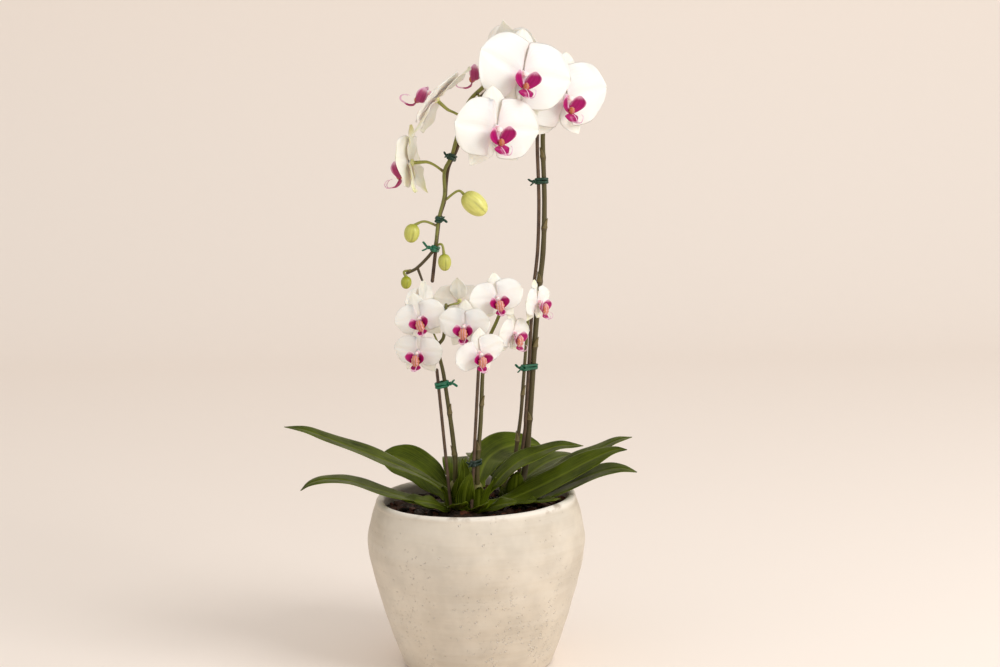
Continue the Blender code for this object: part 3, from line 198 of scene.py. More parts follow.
# Small leaves that grow low on a crown
SMALL_LEAVES = leaf_rows("""
leaf_small_front tall, 172 9, -58 0.55 0.16, 0 -0.3 1, 56 -22 179, 66 -40 185, 79 -56 190, 89 -64 193;
leaf_small_side tall, 174 8, -18 0.5 0.18, 0 -0.3 1, 60 -2 182, 80 -12 192, 98 -20 203;
leaf_small_left left, 172 8.5, -62 0.45 0.2, 0.3 -0.9 0.3, -15 -19 185, -11 -24 205, -13 -21 228;
leaf_small_rim left, 170 12.5, 232 0.5 0.14, 0.1 -0.5 0.9, -36 -26 177, -50 -41 185, -64 -54 190;
leaf_small_low left, 169 11.5, -72 0.5 0.18, 0.1 -0.6 0.8, -19 -31 176, -16 -45 183, -13 -56 188;
leaf_small_wedge middle, 172 10, 205 0.4 0.22, 0.2 -0.95 0.25, -11 -29 182, -9 -34 199, -4 -34 215;
leaf_small_middle middle, 169 11.5, -48 0.5 0.16, 0 -0.5 0.9, 15 -35 177, 29 -48 184, 44 -57 188;
leaf_small_left_side left, 170 15, 206 0.5 0.12, 0.05 -0.35 1, -40 -16 176.5, -59 -29 183, -77 -42 189.5;
leaf_small_centre middle, 168 12, -84 0.5 0.16, 0 -0.6 0.8, 3 -35 175.5, 6 -48 182.5, 10 -60 187;
leaf_small_right tall, 170 11, -78 0.5 0.16, 0 -0.5 0.9, 45 -18 177, 53 -37 184, 65 -50 188;""")
# Sheaths of old leaves round the crowns: crown, foot, length and lean (mm), heading in degrees, half angle
LEAF_SHEATHS = [(crown, *mm(sizes)[0], *floats(turn)) for (crown,), (sizes, turn) in table("""
left, 166 50 9, -50 1.6; left, 165 32 7, 215 1.8; left, 165.5 38 10, 20 1.5; middle, 166 46 8, 185 1.6;
middle, 165 34 6, -80 1.8; middle, 165.5 42 12, -20 1.5; tall, 166 44 9, -75 1.7; tall, 165 24 6, 150 1.7;
tall, 165.5 28 10, 10 1.5; rear, 164 22 7, -90 1.7; rear, 164 20 6, 60 1.7;""")]
LEAF_BASE_HALF_WIDTH = 0.0080
LEAF_NECK_HALF_WIDTH = 0.0145
LEAF_SEAT = 0.0006
LEAF_GRID = (76, 25)

# Blooms: name and spike, centre, a place near which the stalk leaves that spike, then size, turn from the front
# towards +X, pitch up, roll, the right and the left petal's direction in degrees, and how green the backs are
BLOOMS = {
    "bloom_" + name: (name[:5], spike, mm(centre)[0], mm(place)[0], *floats(form))
    for (name, spike), (centre, place, form) in table("""
large_1 tall, 55 -38 630.5, 72 19 633, 1.02 24 2 -7 -4 158 0.1;
large_2 tall, 27.5 -64 577, 10 -17 612, 0.93 26 -4 2 -8 168 0.1;
large_3 tall, 101 12 605, 79 24 595, 1.02 34 -4 -4 12 172 0.1;
large_4 tall, -34 -34 607, -9 -27 588, 1 -97 42 0 18 172 0.35;
large_5 tall, -61.1 -29 541.5, -26 -30 531, 0.8 -103 -4 0 8 172 1;
large_6 tall, 19 46 634, 28 -4 635, 0.9 -92 14 0 8 172 0.25;
large_7 tall, 48 60 646, 56 12 642, 0.92 130 10 0 18 172 0.25;
small_1 left, -54 -37 381, -36 -10 348, 1 -12 0 18 6 174 0.15;
small_2 left, -56 -42 346, -34 -10 332, 1 -20 -4 0 8 172 0.15;
small_3 middle, -7.5 -50 374, 16 -21 353, 1 -10 0 0 15 162 0.15;
small_4 middle, 7 -62 348, 12 -22 336, 0.98 25 -12 0 20 196 0.15;
small_5 middle, 26 -36.5 401, 30 -19 385, 1.03 12 0 8 11 175 0.15;
small_6 rear, 42 -23 362, 57 15 350, 0.96 54 -6 0 -6 172 0.3;
small_7 rear, 68 -12 393, 59.5 7 385, 0.9 62 -2 0 8 172 0.3;
small_8 left, -14 30 390, -28 3 386, 1 172 8 0 8 172 0.3;
small_9 left, -55 12 390, -28 2 384, 1 -120 0 0 8 172 0.3;""")
}
BLOOM_SCALE = {"large": 1.0, "small": 0.62}
# Tepals: length and half width of a petal, the upper sepal and a lower sepal, then (rows, columns) of a petal
# and of a sepal
TEPAL_SIZES = {"large": mm("50 33, 46 18, 47 15.5"), "small": mm("26.5 16, 24.5 9.5, 25 8.5")}
TEPAL_GRIDS = {"large": ((34, 33), (28, 19)), "small": ((24, 25), (20, 15))}
# Each tepal: its row of sizes, direction, tilt, distance forward, cup, arch, blush and green of its back. A
# petal's direction comes from its bloom.
TEPALS = (
    (0, 0, 4, 0.0013, 0.10, 0.05, 0.30, 0.35),
    (0, 0, 4, 0.0010, 0.10, 0.05, 0.30, 0.35),
    (1, 90, -4, -0.0007, 0.12, 0.06, 0.20, 1.0),
    (2, -54, -6, -0.0009, 0.14, 0.10, 0.55, 1.0),
    (2, -126, -7, -0.0013, 0.14, 0.10, 0.55, 1.0),
)
TEPAL_START = 0.0020
TEPAL_SEED = 23
TEPAL_ROUND = 0.10
# Width along a petal and along a sepal: the powers of its curve, and its least shares at the claw and the tip
PETAL_FORM = (0.9, 2.3, 0.6, 0.09, 0.045)
SEPAL_FORM = (0.85, 2, 0.75, 0.17, 0.05)
# A petal's shoulders fall back towards the bloom's middle: share of the width, place along it and spread
PETAL_SHOULDER = (0.26, 0.33, 0.20)
TEPAL_VARIES = (0.95, 1.03)
TEPAL_SWING = 3
TEPAL_NOD = 2
# Section of the bloom's middle: radius and distance forward
CORE_OUTLINE = mm("1.2 -4.8, 3.4 -3.4, 4.2 -1.2, 4 1.8, 2.8 4, 2.7 6.6, 3.1 9, 2.7 10.8, 1.2 11.8")
RECEPTACLE_BACK = 0.0049
STALK_RADIUS = {"large": 0.0016, "small": 0.0012}
STALK_STRAIGHT = {"large": 0.010, "small": 0.007}
STALK_BRACT = {"large": 0.0042, "small": 0.0030}

# Lips: up, forward and half width along the strip from the claw to the tip of the middle lobe
LIP_SCALE = {"large": 1.0, "small": 0.72}
LIP_STRIP = {
    "large": mm("""-3.7 2.8 1.4, -11 6.8 2.4, -13.5 10 3, -16 12.2 3.4, -20.3 12.5 8.4, -23.8 17 5.8,
        -24.5 24 2.4"""),
    "small": mm("-3.4 2.8 1.4, -11 6.8 2.4, -13.5 10 3, -16 12.2 3.6, -21.5 13 7.8, -24.2 20.5 2.4"),
}
LIP_TENDRIL = {
    "large": mm("2.6 -23.8 27.2, 4 -20.5 28.4, 5.4 -16.6 25.6, 5.6 -15.8 22.5"),
    "small": mm("2.6 -22.6 23.6, 4.2 -19 24.6, 5.2 -16 22.8, 5 -15 20"),
}
# Side lobes: reach and growth outwards, height and drop, reach and growth forwards, half width and its swell
LOBE_OUT, LOBE_RISE, LOBE_FORWARD, LOBE_HALF_WIDTH = mm("6.6 4.4, 3 17.5, 10 4, 4 4.4")
LOBE_FLARE = 0.80
LOBE_REACH = 0.60
# Callus: half sizes and middle (mm), and paleness
CALLUS = {"large": (mm("3 3.8 3.2, 0 -12.6 13"), 0.35), "small": (mm("6.4 8.6 4.6, 0 -10.2 14.2"), 0.80)}
CALLUS_STRIPE = 0.0036

# Buds: a place near which the stalk leaves the tall spike, a bend of the stalk and the centre, then half length
# and half width, the direction that the tip points in, and darkness
BUDS = (
    (mm("-27.5 -30 501, -12.5 -31 512, 4.5 -31 498.5"), mm("15.2 11.2")[0], (0.75, -0.1, -0.65), 0),
    (mm("-34 -30 476, -48 -31 481, -61 -32 469"), mm("9.8 8")[0], (-0.2, -0.05, -1), 0.35),
    (mm("-37 -30 456, -30 -35 457, -27.5 -35 438.5"), mm("8.8 6.8")[0], (0.05, -0.1, -1), 0.45),
    (mm("-61 -30 430, -70 -30 429, -68 -30 417.5"), mm("6.6 5.6")[0], (-0.1, 0, -1), 0.85),
)
BUD_STALK_RADIUS = 0.0014

# Camera: lens on a 36 mm sensor, distance, height angle in degrees, roll in radians, and the point it aims at
CAMERA_LENS = 70
CAMERA_DISTANCE = 2.06
CAMERA_ANGLE = 8.5
CAMERA_ROLL = math.atan(0.0151)
CAMERA_AIM = (0.0287, 0.0, 0.358)
# Paper sweep: where its bend starts behind the pot, the bend's radius, and its front, half width and top
SWEEP_BEND, SWEEP_RADIUS, SWEEP_FRONT, SWEEP_SIDE, SWEEP_TOP = 2.0, 0.9, -4.0, 4.5, 4.0


# ---------------------------------------------------------------- shapes


def fields(*parts):
    """Numbers and arrays broadcast together, side by side in a new last axis."""
    return np.stack(np.broadcast_arrays(*parts), axis=-1)


def unit(vector):
    vector = np.asarray(vector, float)
    return vector / np.linalg.norm(vector, axis=-1, keepdims=True)


def ease(value, low, high):
    """0 below low, 1 above high, and 3x^2 - 2x^3 between."""
    x = np.clip((np.asarray(value, float) - low) / (high - low), 0, 1)
    return x * x * (3 - 2 * x)


def hump(value, spread):
    """exp(-(x / spread)^2)."""
    return np.exp(-((value / spread) ** 2))


def circle(sides):
    """Cosine and sine of even angles round a circle."""
    angle = np.linspace(0, TURN, sides, endpoint=False)
    return np.cos(angle), np.sin(angle)


def curve_through(points, step):
    """A curve through the points: between two of them a cubic, whose slope at each is half the way between
    its neighbours. It is read again at even steps of its length."""
    points = np.asarray(points, float)
    ends = np.vstack([2 * points[:1] - points[1:2], points, 2 * points[-1:] - points[-2:-1]])
    a, b, c, d = (ends[i : len(points) - 1 + i, None, :] for i in range(4))
    t = np.linspace(0, 1, 24, endpoint=False)[None, :, None]
    cubic = 0.5 * (2 * b + (c - a) * t + (2 * a - 5 * b + 4 * c - d) * t**2 + (3 * b - a - 3 * c + d) * t**3)
    fine = np.vstack([cubic.reshape(-1, points.shape[1]), points[-1:]])
    along = lengths(fine)
    return read_along(fine, along, np.linspace(0, along[-1], max(2, round(along[-1] / step) + 1)))


def read_along(path, along, wanted):
    """The path's points at wanted values of a measure along it."""
    return np.stack([np.interp(wanted, along, column) for column in path.T], axis=1)


def lengths(path):
    """Distance along the path to each of its points."""
    return np.concatenate([[0], np.cumsum(np.linalg.norm(np.diff(path, axis=0), axis=1))])


def tangents(path):
    return unit(np.gradient(path, axis=0))


def nearest(path, place):
    """Index of the path's point nearest to a place."""
    return int(np.argmin(np.linalg.norm(path - np.asarray(place), axis=1)))


def ripple(points, wavelength, seed):
    """Smooth unevenness from -1 to 1: the mean of five sines of each point's place along five drawn
    directions."""
    draw = np.random.default_rng(seed)
    waves = unit(draw.normal(size=(5, 3))) * (TURN / wavelength) * draw.uniform(0.7, 1.4, (5, 1))
    return np.sin(np.asarray(points) @ waves.T + draw.uniform(0, TURN, 5)).mean(-1) * 1.6


def grid_quads(rows, columns, wrap=False):
    """Corner numbers of a grid's quads. Wrapped, its last column joins its first."""
    row, column = np.mgrid[0 : rows - 1, 0 : columns if wrap else columns - 1]
    after = (column + 1) % columns
    below = row + 1
    return fields(row * columns + column, row * columns + after, below * columns + after,
                  below * columns + column).reshape(-1, 4)


def tube_faces(rings, sides):
    """Quads round a tube, and a flat face at each end."""
    ring = np.arange(sides)
    return [grid_quads(rings, sides, wrap=True), ring[::-1][None], (ring + (rings - 1) * sides)[None]]


def closed_surface(points, faces, grain, paint):
    """A closed shape: its points, its faces as arrays of corner numbers, where each point lies on the
    straightened piece (grain, in metres), and three shares that its finish reads (paint). Its faces turn
    outwards: its volume is a sixth of the sum of a . (b x c) over the triangles that fan out in each
    face."""
    points, grain, paint = (values.reshape(-1, 3) for values in (points, grain, paint))
    volume = 0.0
    for corners in faces:
        a, b, c = points[corners[:, :1]], points[corners[:, 1:-1]], points[corners[:, 2:]]
        volume += (a * np.cross(b, c)).sum() / 6
    if volume < 0:
        faces = [corners[:, ::-1] for corners in faces]
    return {"points": points, "faces": faces, "grain": grain, "paint": paint}


def joined(shapes):
    """Several closed shapes as one."""
    starts = np.cumsum([0] + [len(shape["points"]) for shape in shapes])
    whole = {kind: np.vstack([shape[kind] for shape in shapes]) for kind in ("points", "grain", "paint")}
    faces = [corners + start for shape, start in zip(shapes, starts) for corners in shape["faces"]]
    return {**whole, "faces": faces}


def rod(path, radii, sides, paint=0.0, flat=1.0):
    """A rod along the path: each ring is path + r (cos a side + flat sin a up), and its ends are rounded off
    as r sqrt(1 - x^2) over the last radius of its length. The side leans towards the direction that the path
    turns in least, so that the section doesn't spin."""
    radii = np.broadcast_to(radii, len(path)).astype(float)
    heading = tangents(path)
    side = unit(np.cross(heading, np.linalg.svd(heading)[2][-1]))
    rows = (side, np.cross(heading, side), np.broadcast_to(paint, (len(path), 3)))
    side, up, paint = (np.pad(values, ((3, 3), (0, 0)), "edge") for values in rows)
    x = np.array((0.98, 0.8, 0.45))
    cap = np.sqrt(1 - x * x)
    start = path[0] - x[:, None] * radii[0] * heading[0]
    end = path[-1] + x[::-1, None] * radii[-1] * heading[-1]
    path = np.vstack([start, path, end])
    radii = np.concatenate([radii[0] * cap, radii, radii[-1] * cap[::-1]])[:, None]
    cos, sin = circle(sides)
    way = cos[:, None] * side[:, None] + flat * sin[:, None] * up[:, None]
    points = path[:, None] + radii[..., None] * way
    grain = fields(radii * cos, radii * sin, lengths(path)[:, None])
    return closed_surface(points, tube_faces(len(path), sides), grain, np.repeat(paint, sides, axis=0))


def turned(outline, sides, centre=(0, 0, 0), axes=np.eye(3), paint=0.0):
    """The outline of (radius, height) points turned about the third of the axes: centre + r cos a first + r
    sin a second + height third. A flat face closes each end."""
    cos, sin = circle(sides)
    radius, height = outline[:, :1], outline[:, 1:]
    grain = fields(radius * cos, radius * sin, height).reshape(-1, 3)
    paint = np.repeat(np.broadcast_to(paint, (len(outline), 3)), sides, axis=0)
    return closed_surface(centre + grain @ axes, tube_faces(len(outline), sides), grain, paint)


def blade(middle, thickness, grain, paint, raise_upper=0.0, raise_lower=0.0):
    """A thin closed blade on a middle surface (rows, columns, 3). Each face stands off it by half the
    thickness times (1 - |t|^6)^0.5 along the surface's normal, plus its own raise, so that both meet in a
    round margin. The third share of its paint is 1 on the upper face and 0 on the lower."""
    rows, columns = middle.shape[:2]
    inside = 1 - np.abs(np.linspace(-1, 1, columns)) ** 6
    normal = unit(np.cross(np.gradient(middle, axis=1), np.gradient(middle, axis=0)))
    half = 0.5 * np.broadcast_to(thickness, (rows, columns)) * np.sqrt(inside)
    upper = middle + (half + raise_upper * inside)[..., None] * normal
    lower = middle - (half + raise_lower * inside)[..., None] * normal
    points, grain, paint = (
        np.concatenate([over, under[:, -2:0:-1]], axis=1)
        for over, under in ((upper, lower), (grain, grain), (paint, paint))
    )
    paint[..., 2] = np.concatenate([[0.5], np.ones(columns - 2), [0.5], np.zeros(columns - 2)])
    loop = 2 * columns - 2
    over = np.arange(columns)
    under = np.concatenate([[0], np.arange(loop - 1, columns - 1, -1), [columns - 1]])
    faces = [grid_quads(rows, loop, wrap=True)]
    for row, way in ((0, 1), (rows - 1, -1)):
        o, u = over + row * loop, under + row * loop
        faces.append(np.stack([o[1:-2], o[2:-1], u[2:-1], u[1:-2]], axis=1)[:, ::way])
        faces.append(np.array([[o[0], o[1], u[1]], [o[-2], o[-1], u[-2]]])[:, ::way])
    return closed_surface(points, faces, grain, paint)


def add_piece(name, shape, material, nodes, sharp=None):
    """Puts a shape into a mesh, gives it its finish, and lets it stand for its CAD nodes on the body."""
    mesh = bpy.data.meshes.new(name)
    faces = [face for corners in shape["faces"] for face in corners.tolist()]
    mesh.from_pydata(shape["points"].tolist(), [], faces)
    for kind in ("grain", "paint"):
        values = np.ascontiguousarray(shape[kind], np.float32)
        mesh.attributes.new(kind, "FLOAT_VECTOR", "POINT").data.foreach_set("vector", values.ravel())
    mesh.shade_smooth()
    if sharp:
        mesh.set_sharp_from_angle(angle=math.radians(sharp))
    mesh.materials.append(material)
    obj = bpy.data.objects.new(name, mesh)
    bpy.context.scene.collection.objects.link(obj)
    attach(obj, "root")
    if nodes:
        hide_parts(*nodes)


# ---------------------------------------------------------------- finishes


def feed(tree, socket, value):
    """Links a socket to what feeds it, or sets its value. A colour of three numbers gets its alpha."""
    if isinstance(value, bpy.types.NodeSocket):
        tree.links.new(value, socket)
    else:
        socket.default_value = (*value, 1.0) if socket.type == "RGBA" and len(value) == 3 else value


class Nodes:
    """Short calls that add nodes to a tree."""

    def __init__(self, tree):
        self.tree = tree

    def add(self, kind, inputs, **settings):
        made = self.tree.nodes.new("ShaderNode" + kind)
        for key, value in settings.items():
            setattr(made, key, value)
        for key, value in inputs.items():
            feed(self.tree, made.inputs[key], value)
        return made.outputs

    def math(self, operation, a, b, clamp=False):
        return self.add("Math", {0: a, 1: b}, operation=operation, use_clamp=clamp)[0]

    def times(self, a, b, clamp=False):
        return self.math("MULTIPLY", a, b, clamp)

    def ramp(self, value, low, high, to_low=0.0, to_high=1.0):
        """The value eased from one range to another."""
        inputs = {0: value, 1: low, 2: high, 3: to_low, 4: to_high}
        return self.add("MapRange", inputs, interpolation_type="SMOOTHSTEP")[0]

    def mix(self, share, first, second, mode="MIX"):
        return self.add("Mix", {0: share, 6: first, 7: second}, data_type="RGBA", blend_type=mode)[2]

    def coats(self, colour, *coats):
        """The colour under coats, each a share, its strength and its own colour."""
        for share, strength, coat in coats:
            colour = self.mix(self.times(share, strength), colour, coat)
        return colour

    def noise(self, vector, scale, detail, roughness=0.5):
        inputs = {"Vector": vector, "Scale": scale, "Detail": detail, "Roughness": roughness}
        return self.add("TexNoise", inputs)["Fac"]

    def stretched(self, vector, *scale):
        return self.add("Mapping", {"Vector": vector, "Scale": scale})[0]

    def group(self, name, *values):
        """The node of a shared effect, its inputs fed in order."""
        made = self.tree.nodes.new("ShaderNodeGroup")
        made.node_tree = effect(name)
        for socket, value in zip(made.inputs, values):
            feed(self.tree, socket, value)
        return made.outputs


def mottle(n, vector, scale, fine_scale, first, second):
    """Two colours mixed by soft noise, with finer noise as a height."""
    share = n.ramp(n.noise(vector, scale, 5, 0.6), 0.34, 0.68)
    fine = n.noise(vector, fine_scale, 3, 0.65)
    speckle = n.ramp(fine, 0.3, 0.7, 0.90, 1.07)
    grey = n.add("CombineColor", {0: speckle, 1: speckle, 2: speckle})[0]
    return n.mix(1.0, n.mix(share, first, second), grey, "MULTIPLY"), share, fine


def streaks(n, grain, stretch):
    """Lines along a piece: noise on its grain, stretched so that it changes fast across and slowly along."""
    noise = n.noise(n.add("VectorMath", {0: grain, 1: stretch}, operation="MULTIPLY")[0], 1, 3, 0.55)
    return n.ramp(noise, 0.36, 0.64), noise


def spots(n, vector, scale, size, amount):
    """Round spots of a given size, in a given share of the cells of a Voronoi pattern."""
    cells = n.add("TexVoronoi", {"Vector": vector, "Scale": scale})
    chosen = n.add("SeparateColor", {0: cells["Color"]})
    radius = n.times(size, n.ramp(chosen[1], 0, 1, 0.35, 1))
    inside = n.math("SUBTRACT", radius, cells["Distance"])
    edge = n.math("DIVIDE", inside, n.times(radius, 0.6), clamp=True)
    return (n.times(edge, n.math("LESS_THAN", chosen[0], amount)),)


# Shared effects: what fills each, its inputs with their values, and its outputs
EFFECTS = {
    "mottle": (
        mottle,
        (("Vector", "Vector"), ("Scale", "Float", 10.0), ("Fine Scale", "Float", 200.0), ("First", "Color"),
         ("Second", "Color")),
        (("Color", "Color"), ("Share", "Float"), ("Height", "Float")),
    ),
    "streaks": (
        streaks,
        (("Grain", "Vector"), ("Stretch", "Vector", (1000.0, 1000.0, 60.0))),
        (("Line", "Float"), ("Height", "Float")),
    ),
    "spots": (
        spots,
        (("Vector", "Vector"), ("Scale", "Float", 300.0), ("Size", "Float", 0.3), ("Amount", "Float", 0.2)),
        (("Spot", "Float"),),
    ),
}


def effect(name):
    """The node group of a shared effect, made once."""
    tree = bpy.data.node_groups.get(name)
    if tree:
        return tree
    tree = bpy.data.node_groups.new(name, "ShaderNodeTree")
    fill, inputs, outputs = EFFECTS[name]
    for way, sockets in (("INPUT", inputs), ("OUTPUT", outputs)):
        for label, kind, *value in sockets:
            socket = tree.interface.new_socket(label, in_out=way, socket_type="NodeSocket" + kind)
            if value:
                socket.default_value = value[0]
    start, end = tree.nodes.new("NodeGroupInput"), tree.nodes.new("NodeGroupOutput")
    for made, socket in zip(fill(Nodes(tree), *list(start.outputs)[: len(inputs)]), end.inputs):
        tree.links.new(made, socket)
    return tree


class Finish(Nodes):
    """A material in the making, with constants set on its shader's own sockets."""

    def __init__(self, name, **constants):
        self.material = bpy.data.materials.new(name)
        self.material.use_nodes = True
        super().__init__(self.material.node_tree)
        self.shader = self.tree.nodes["Principled BSDF"]
        for key, value in constants.items():
            feed(self.tree, self.shader.inputs[key.replace("_", " ")], value)

    def read(self, attribute):
        return self.add("Attribute", {}, attribute_name=attribute)["Vector"]

    def paint(self):
        """The three shares of the piece's paint."""
        return self.add("SeparateXYZ", {0: self.read("paint")})

    def place(self):
        return self.add("TexCoord", {})["Object"]

    def lines(self, *stretch):
        """Streaks along the piece's grain: their share and their height."""
        return self.group("streaks", self.read("grain"), stretch)

    def done(self, colour, roughness, *bumps):
        """The finished material. Each bump is a height, its strength and its distance in metres."""
        normal = None
        for height, strength, distance in bumps:
            inputs = {"Height": height, "Strength": strength, "Distance": distance}
            normal = self.add("Bump", {**inputs, "Normal": normal} if normal else inputs)[0]
        for key, value in (("Base Color", colour), ("Roughness", roughness), ("Normal", normal)):
            feed(self.tree, self.shader.inputs[key], value)
        return self.material


def stoneware_finish(look):
    """Weathered stoneware: two clays in soft patches, turning marks, pits that crowd the lower half, each
    with a pale limy crumb beside it, and a rim chafed and painted pale, partly for wear and partly as a
    painted highlight on its top."""
    f = Finish("stoneware_weathered")
    place = f.place()
    height = f.add("SeparateXYZ", {0: place})[2]
    colour, patch, speckle = f.group("mottle", place, 7, 22, look.clay, look.stain)
    rings = f.noise(f.stretched(place, 5, 5, 130), 1, 4, 0.6)
    crowd = f.ramp(f.noise(f.stretched(place, 22, 22, 9), 1, 2), 0.40, 0.66, 0.12, 1.5)
    low_down = f.times(f.ramp(height, 0.155, 0.03, 0.06, 0.55), crowd)
    pits = f.group("spots", place, 330, 0.34, low_down)[0]
    big_pits = f.group("spots", place, 150, 0.20, f.times(low_down, 0.25))[0]
    beside = f.add("VectorMath", {0: place, 1: (0.0012, 0, 0.0012)}, operation="ADD")[0]
    crumbs = f.group("spots", beside, 330, 0.34, low_down)[0]
    dark = f.math("MAXIMUM", pits, big_pits)
    # The rim is painted pale: partly wear, partly a painted highlight on its top where the light falls.
    rim = f.ramp(height, 0.1775, 0.1835)
    chafed = f.ramp(f.noise(place, 55, 5), 0.52, 0.66, 0, 0.7)
    colour = f.coats(
        f.mix(f.ramp(rings, 0.35, 0.65, 0, 0.22), colour, look.wash), (dark, 0.28, look.pit),
        (crumbs, 0.9, look.lime_and_highlight), (rim, 0.55, look.lime_and_highlight), (chafed, rim, look.pit),
        # The last coat makes the lowest 6 mm darker towards the foot, in the pits' colour.
        (f.ramp(height, 0.006, 0), 0.5, look.pit))
    relief = f.math("SUBTRACT", crumbs, f.times(dark, 0.4))
    return f.done(colour, f.ramp(patch, 0, 1, 0.74, 0.90),
                  (rings, 0.35, 0.0012), (relief, 1.0, look.pit_depth), (speckle, 0.2, 0.0008))


def bark_finish(look):
    """Moist bark: each chip's own brown from its paint, with fibres along it and red-brown faces."""
    f = Finish("bark_moist", Specular_IOR_Level=0.35)
    line, fibre = f.lines(90, 900, 900)
    colour, _, crumble = f.group("mottle", f.place(), 120, 900, look.bark, look.bark_dark)
    colour = f.mix(f.ramp(f.paint()[0], 0.55, 1), colour, look.bark_red)
    return f.done(f.coats(colour, (line, 0.45, look.bark_dark)), f.ramp(line, 0, 1, 0.62, 0.92),
                  (fibre, 0.8, 0.0010), (crumble, 0.5, 0.0006))


def stem_finish(look):
    """A spike's skin: brown to green by its freshness, streaked along, darker at the nodes, slightly
    glossy."""
    f = Finish("spike_skin", Specular_IOR_Level=0.45)
    fresh, node, _ = f.paint()
    line, ridge = f.lines(900, 900, 40)
    blots = f.noise(f.read("grain"), 260, 3)
    ramp = f.tree.nodes.new("ShaderNodeValToRGB")
    f.tree.links.new(fresh, ramp.inputs[0])
    first, last = ramp.color_ramp.elements
    first.color, last.color = (*look.brown, 1.0), (*look.fresh, 1.0)
    ramp.color_ramp.elements.new(0.5).color = (*look.olive, 1.0)
    skin = ramp.outputs[0]
    colour = f.coats(skin, (line, f.ramp(fresh, 0.2, 1, 0.75, 0.25), f.mix(0.55, skin, look.brown)),
                     (f.ramp(blots, 0.58, 0.72), 0.5, look.brown), (node, 0.5, look.sheath))
    return f.done(colour, f.ramp(line, 0, 1, 0.42, 0.62), (ridge, 0.5, 0.0006), (blots, 0.2, 0.0004))


def bud_finish(look):
    """A bud's waxy yellow-green skin, darker with the share of its paint, with faint veins from stalk to
    tip."""
    f = Finish("bud_skin", Subsurface_Weight=0.15, Subsurface_Scale=0.004, Subsurface_Radius=(1, 0.9, 0.3))
    dark, seam, _ = f.paint()
    line, vein = f.lines(420, 420, 30)
    colour = f.coats(f.mix(dark, look.bud, look.bud_dark), (line, 0.25, look.bud_dark), (seam, 0.6, look.olive))
    return f.done(colour, f.ramp(line, 0, 1, 0.38, 0.5), (vein, 0.2, 0.0005))


def wire_finish(look):
    """Brown-coated wire: a dull coat with scuffs along it that show a lighter brown."""
    f = Finish("coated_wire_brown", Specular_IOR_Level=0.4)
    line, scuff = f.lines(700, 700, 120)
    colour = f.group("mottle", f.read("grain"), 90, 900, look.coat, look.coat_worn)[0]
    colour = f.coats(colour, (line, 0.4, look.coat_worn))
    return f.done(colour, f.ramp(line, 0, 1, 0.45, 0.7), (scuff, 0.35, 0.0005))


def tie_finish(look):
    """Plastic-coated tie: dark to bright green by its paint, with fine ribs along the wire inside."""
    f = Finish("twist_tie_plastic", Coat_Roughness=0.2)
    line, rib = f.lines(1500, 1500, 90)
    colour = f.coats(f.mix(f.paint()[0], look.dark, look.bright), (line, 0.3, look.dark))
    return f.done(colour, f.ramp(line, 0, 1, 0.3, 0.5), (rib, 0.3, 0.0004))


def leaf_finish(look):
    """Leathery leaf: deep green patches, lighter along the midrib and the base, a painted highlight along the
    margin, fine veins along the blade, a paler underside, and a satin skin."""
    f = Finish("leaf_skin", Specular_IOR_Level=0.15, Specular_Tint=(0.9, 1.0, 0.4))
    along, across, face = f.paint()
    line, vein = f.lines(1100, 22, 1)
    colour, patch, speckle = f.group("mottle", f.read("grain"), 26, 160, look.green, look.deep)
    # The last coat lightens the outer 7% towards each margin with the vein colour: a painted highlight along
    # the edge.
    colour = f.coats(
        colour, (line, 0.30, look.vein), (f.ramp(across, 0.16, 0), 0.5, look.vein),
        (f.ramp(face, 0.45, 0.05), 0.55, look.under), (f.ramp(along, 0.16, 0), 0.6, look.under),
        (f.ramp(across, 0.93, 1), 0.65, look.vein))
    return f.done(colour, f.ramp(patch, 0, 1, 0.34, 0.46), (vein, 0.22, 0.0006), (speckle, 0.12, 0.0006))


def petal_finish(look):
    """Tepals and column: warm white that scatters light, blushed near the centre and greenish on the backs
    by their paint, with fanned veins and a fine sparkle of cells. The third share of the paint marks the
    face."""
    f = Finish("tepal_skin", Subsurface_Weight=0.6, Subsurface_Scale=0.004, Subsurface_Radius=(1, 0.8, 0.65),
               Sheen_Weight=0.08)
    blush, green, face = f.paint()
    line, vein = f.lines(900, 30, 1)
    cells = f.noise(f.read("grain"), 1400, 2)
    back = f.ramp(face, 0.7, 0.2)
    blush = f.times(blush, f.ramp(line, 0, 1, 0.75, 1), clamp=True)
    green = f.times(green, f.ramp(back, 0, 1, 0.5, 1), clamp=True)
    colour = f.mix(blush, f.mix(f.times(line, 0.10), look.white, look.shade), look.blush)
    return f.done(f.mix(green, colour, look.green), f.ramp(cells, 0.3, 0.7, 0.46, 0.6),
                  (vein, 0.25, 0.0006), (cells, 0.08, 0.0003))


def lip_finish(look):
    """The lip: deep magenta, paler by the first share of its paint, orange by the second, with veins that run
    along each lobe and red flecks on the orange."""
    f = Finish("lip_skin", Subsurface_Weight=0.15, Subsurface_Scale=0.002, Subsurface_Radius=(1, 0.3, 0.5),
               Specular_IOR_Level=0.3)
    pale, orange, _ = f.paint()
    line, vein = f.lines(1300, 60, 1)
    flecks = f.group("spots", f.place(), 900, 0.5, 0.45)[0]
    deep = f.coats(look.magenta, (line, 0.35, look.wine))
    faded = f.coats(look.pale, (line, 0.5, look.rose))
    callus = f.coats(look.orange, (flecks, 0.6, look.wine))
    colour = f.mix(orange, f.mix(f.ramp(pale, 0.05, 0.95), deep, faded), callus)
    return f.done(colour, f.ramp(line, 0, 1, 0.36, 0.5), (vein, 0.25, 0.0005))


# ---------------------------------------------------------------- pot and mix


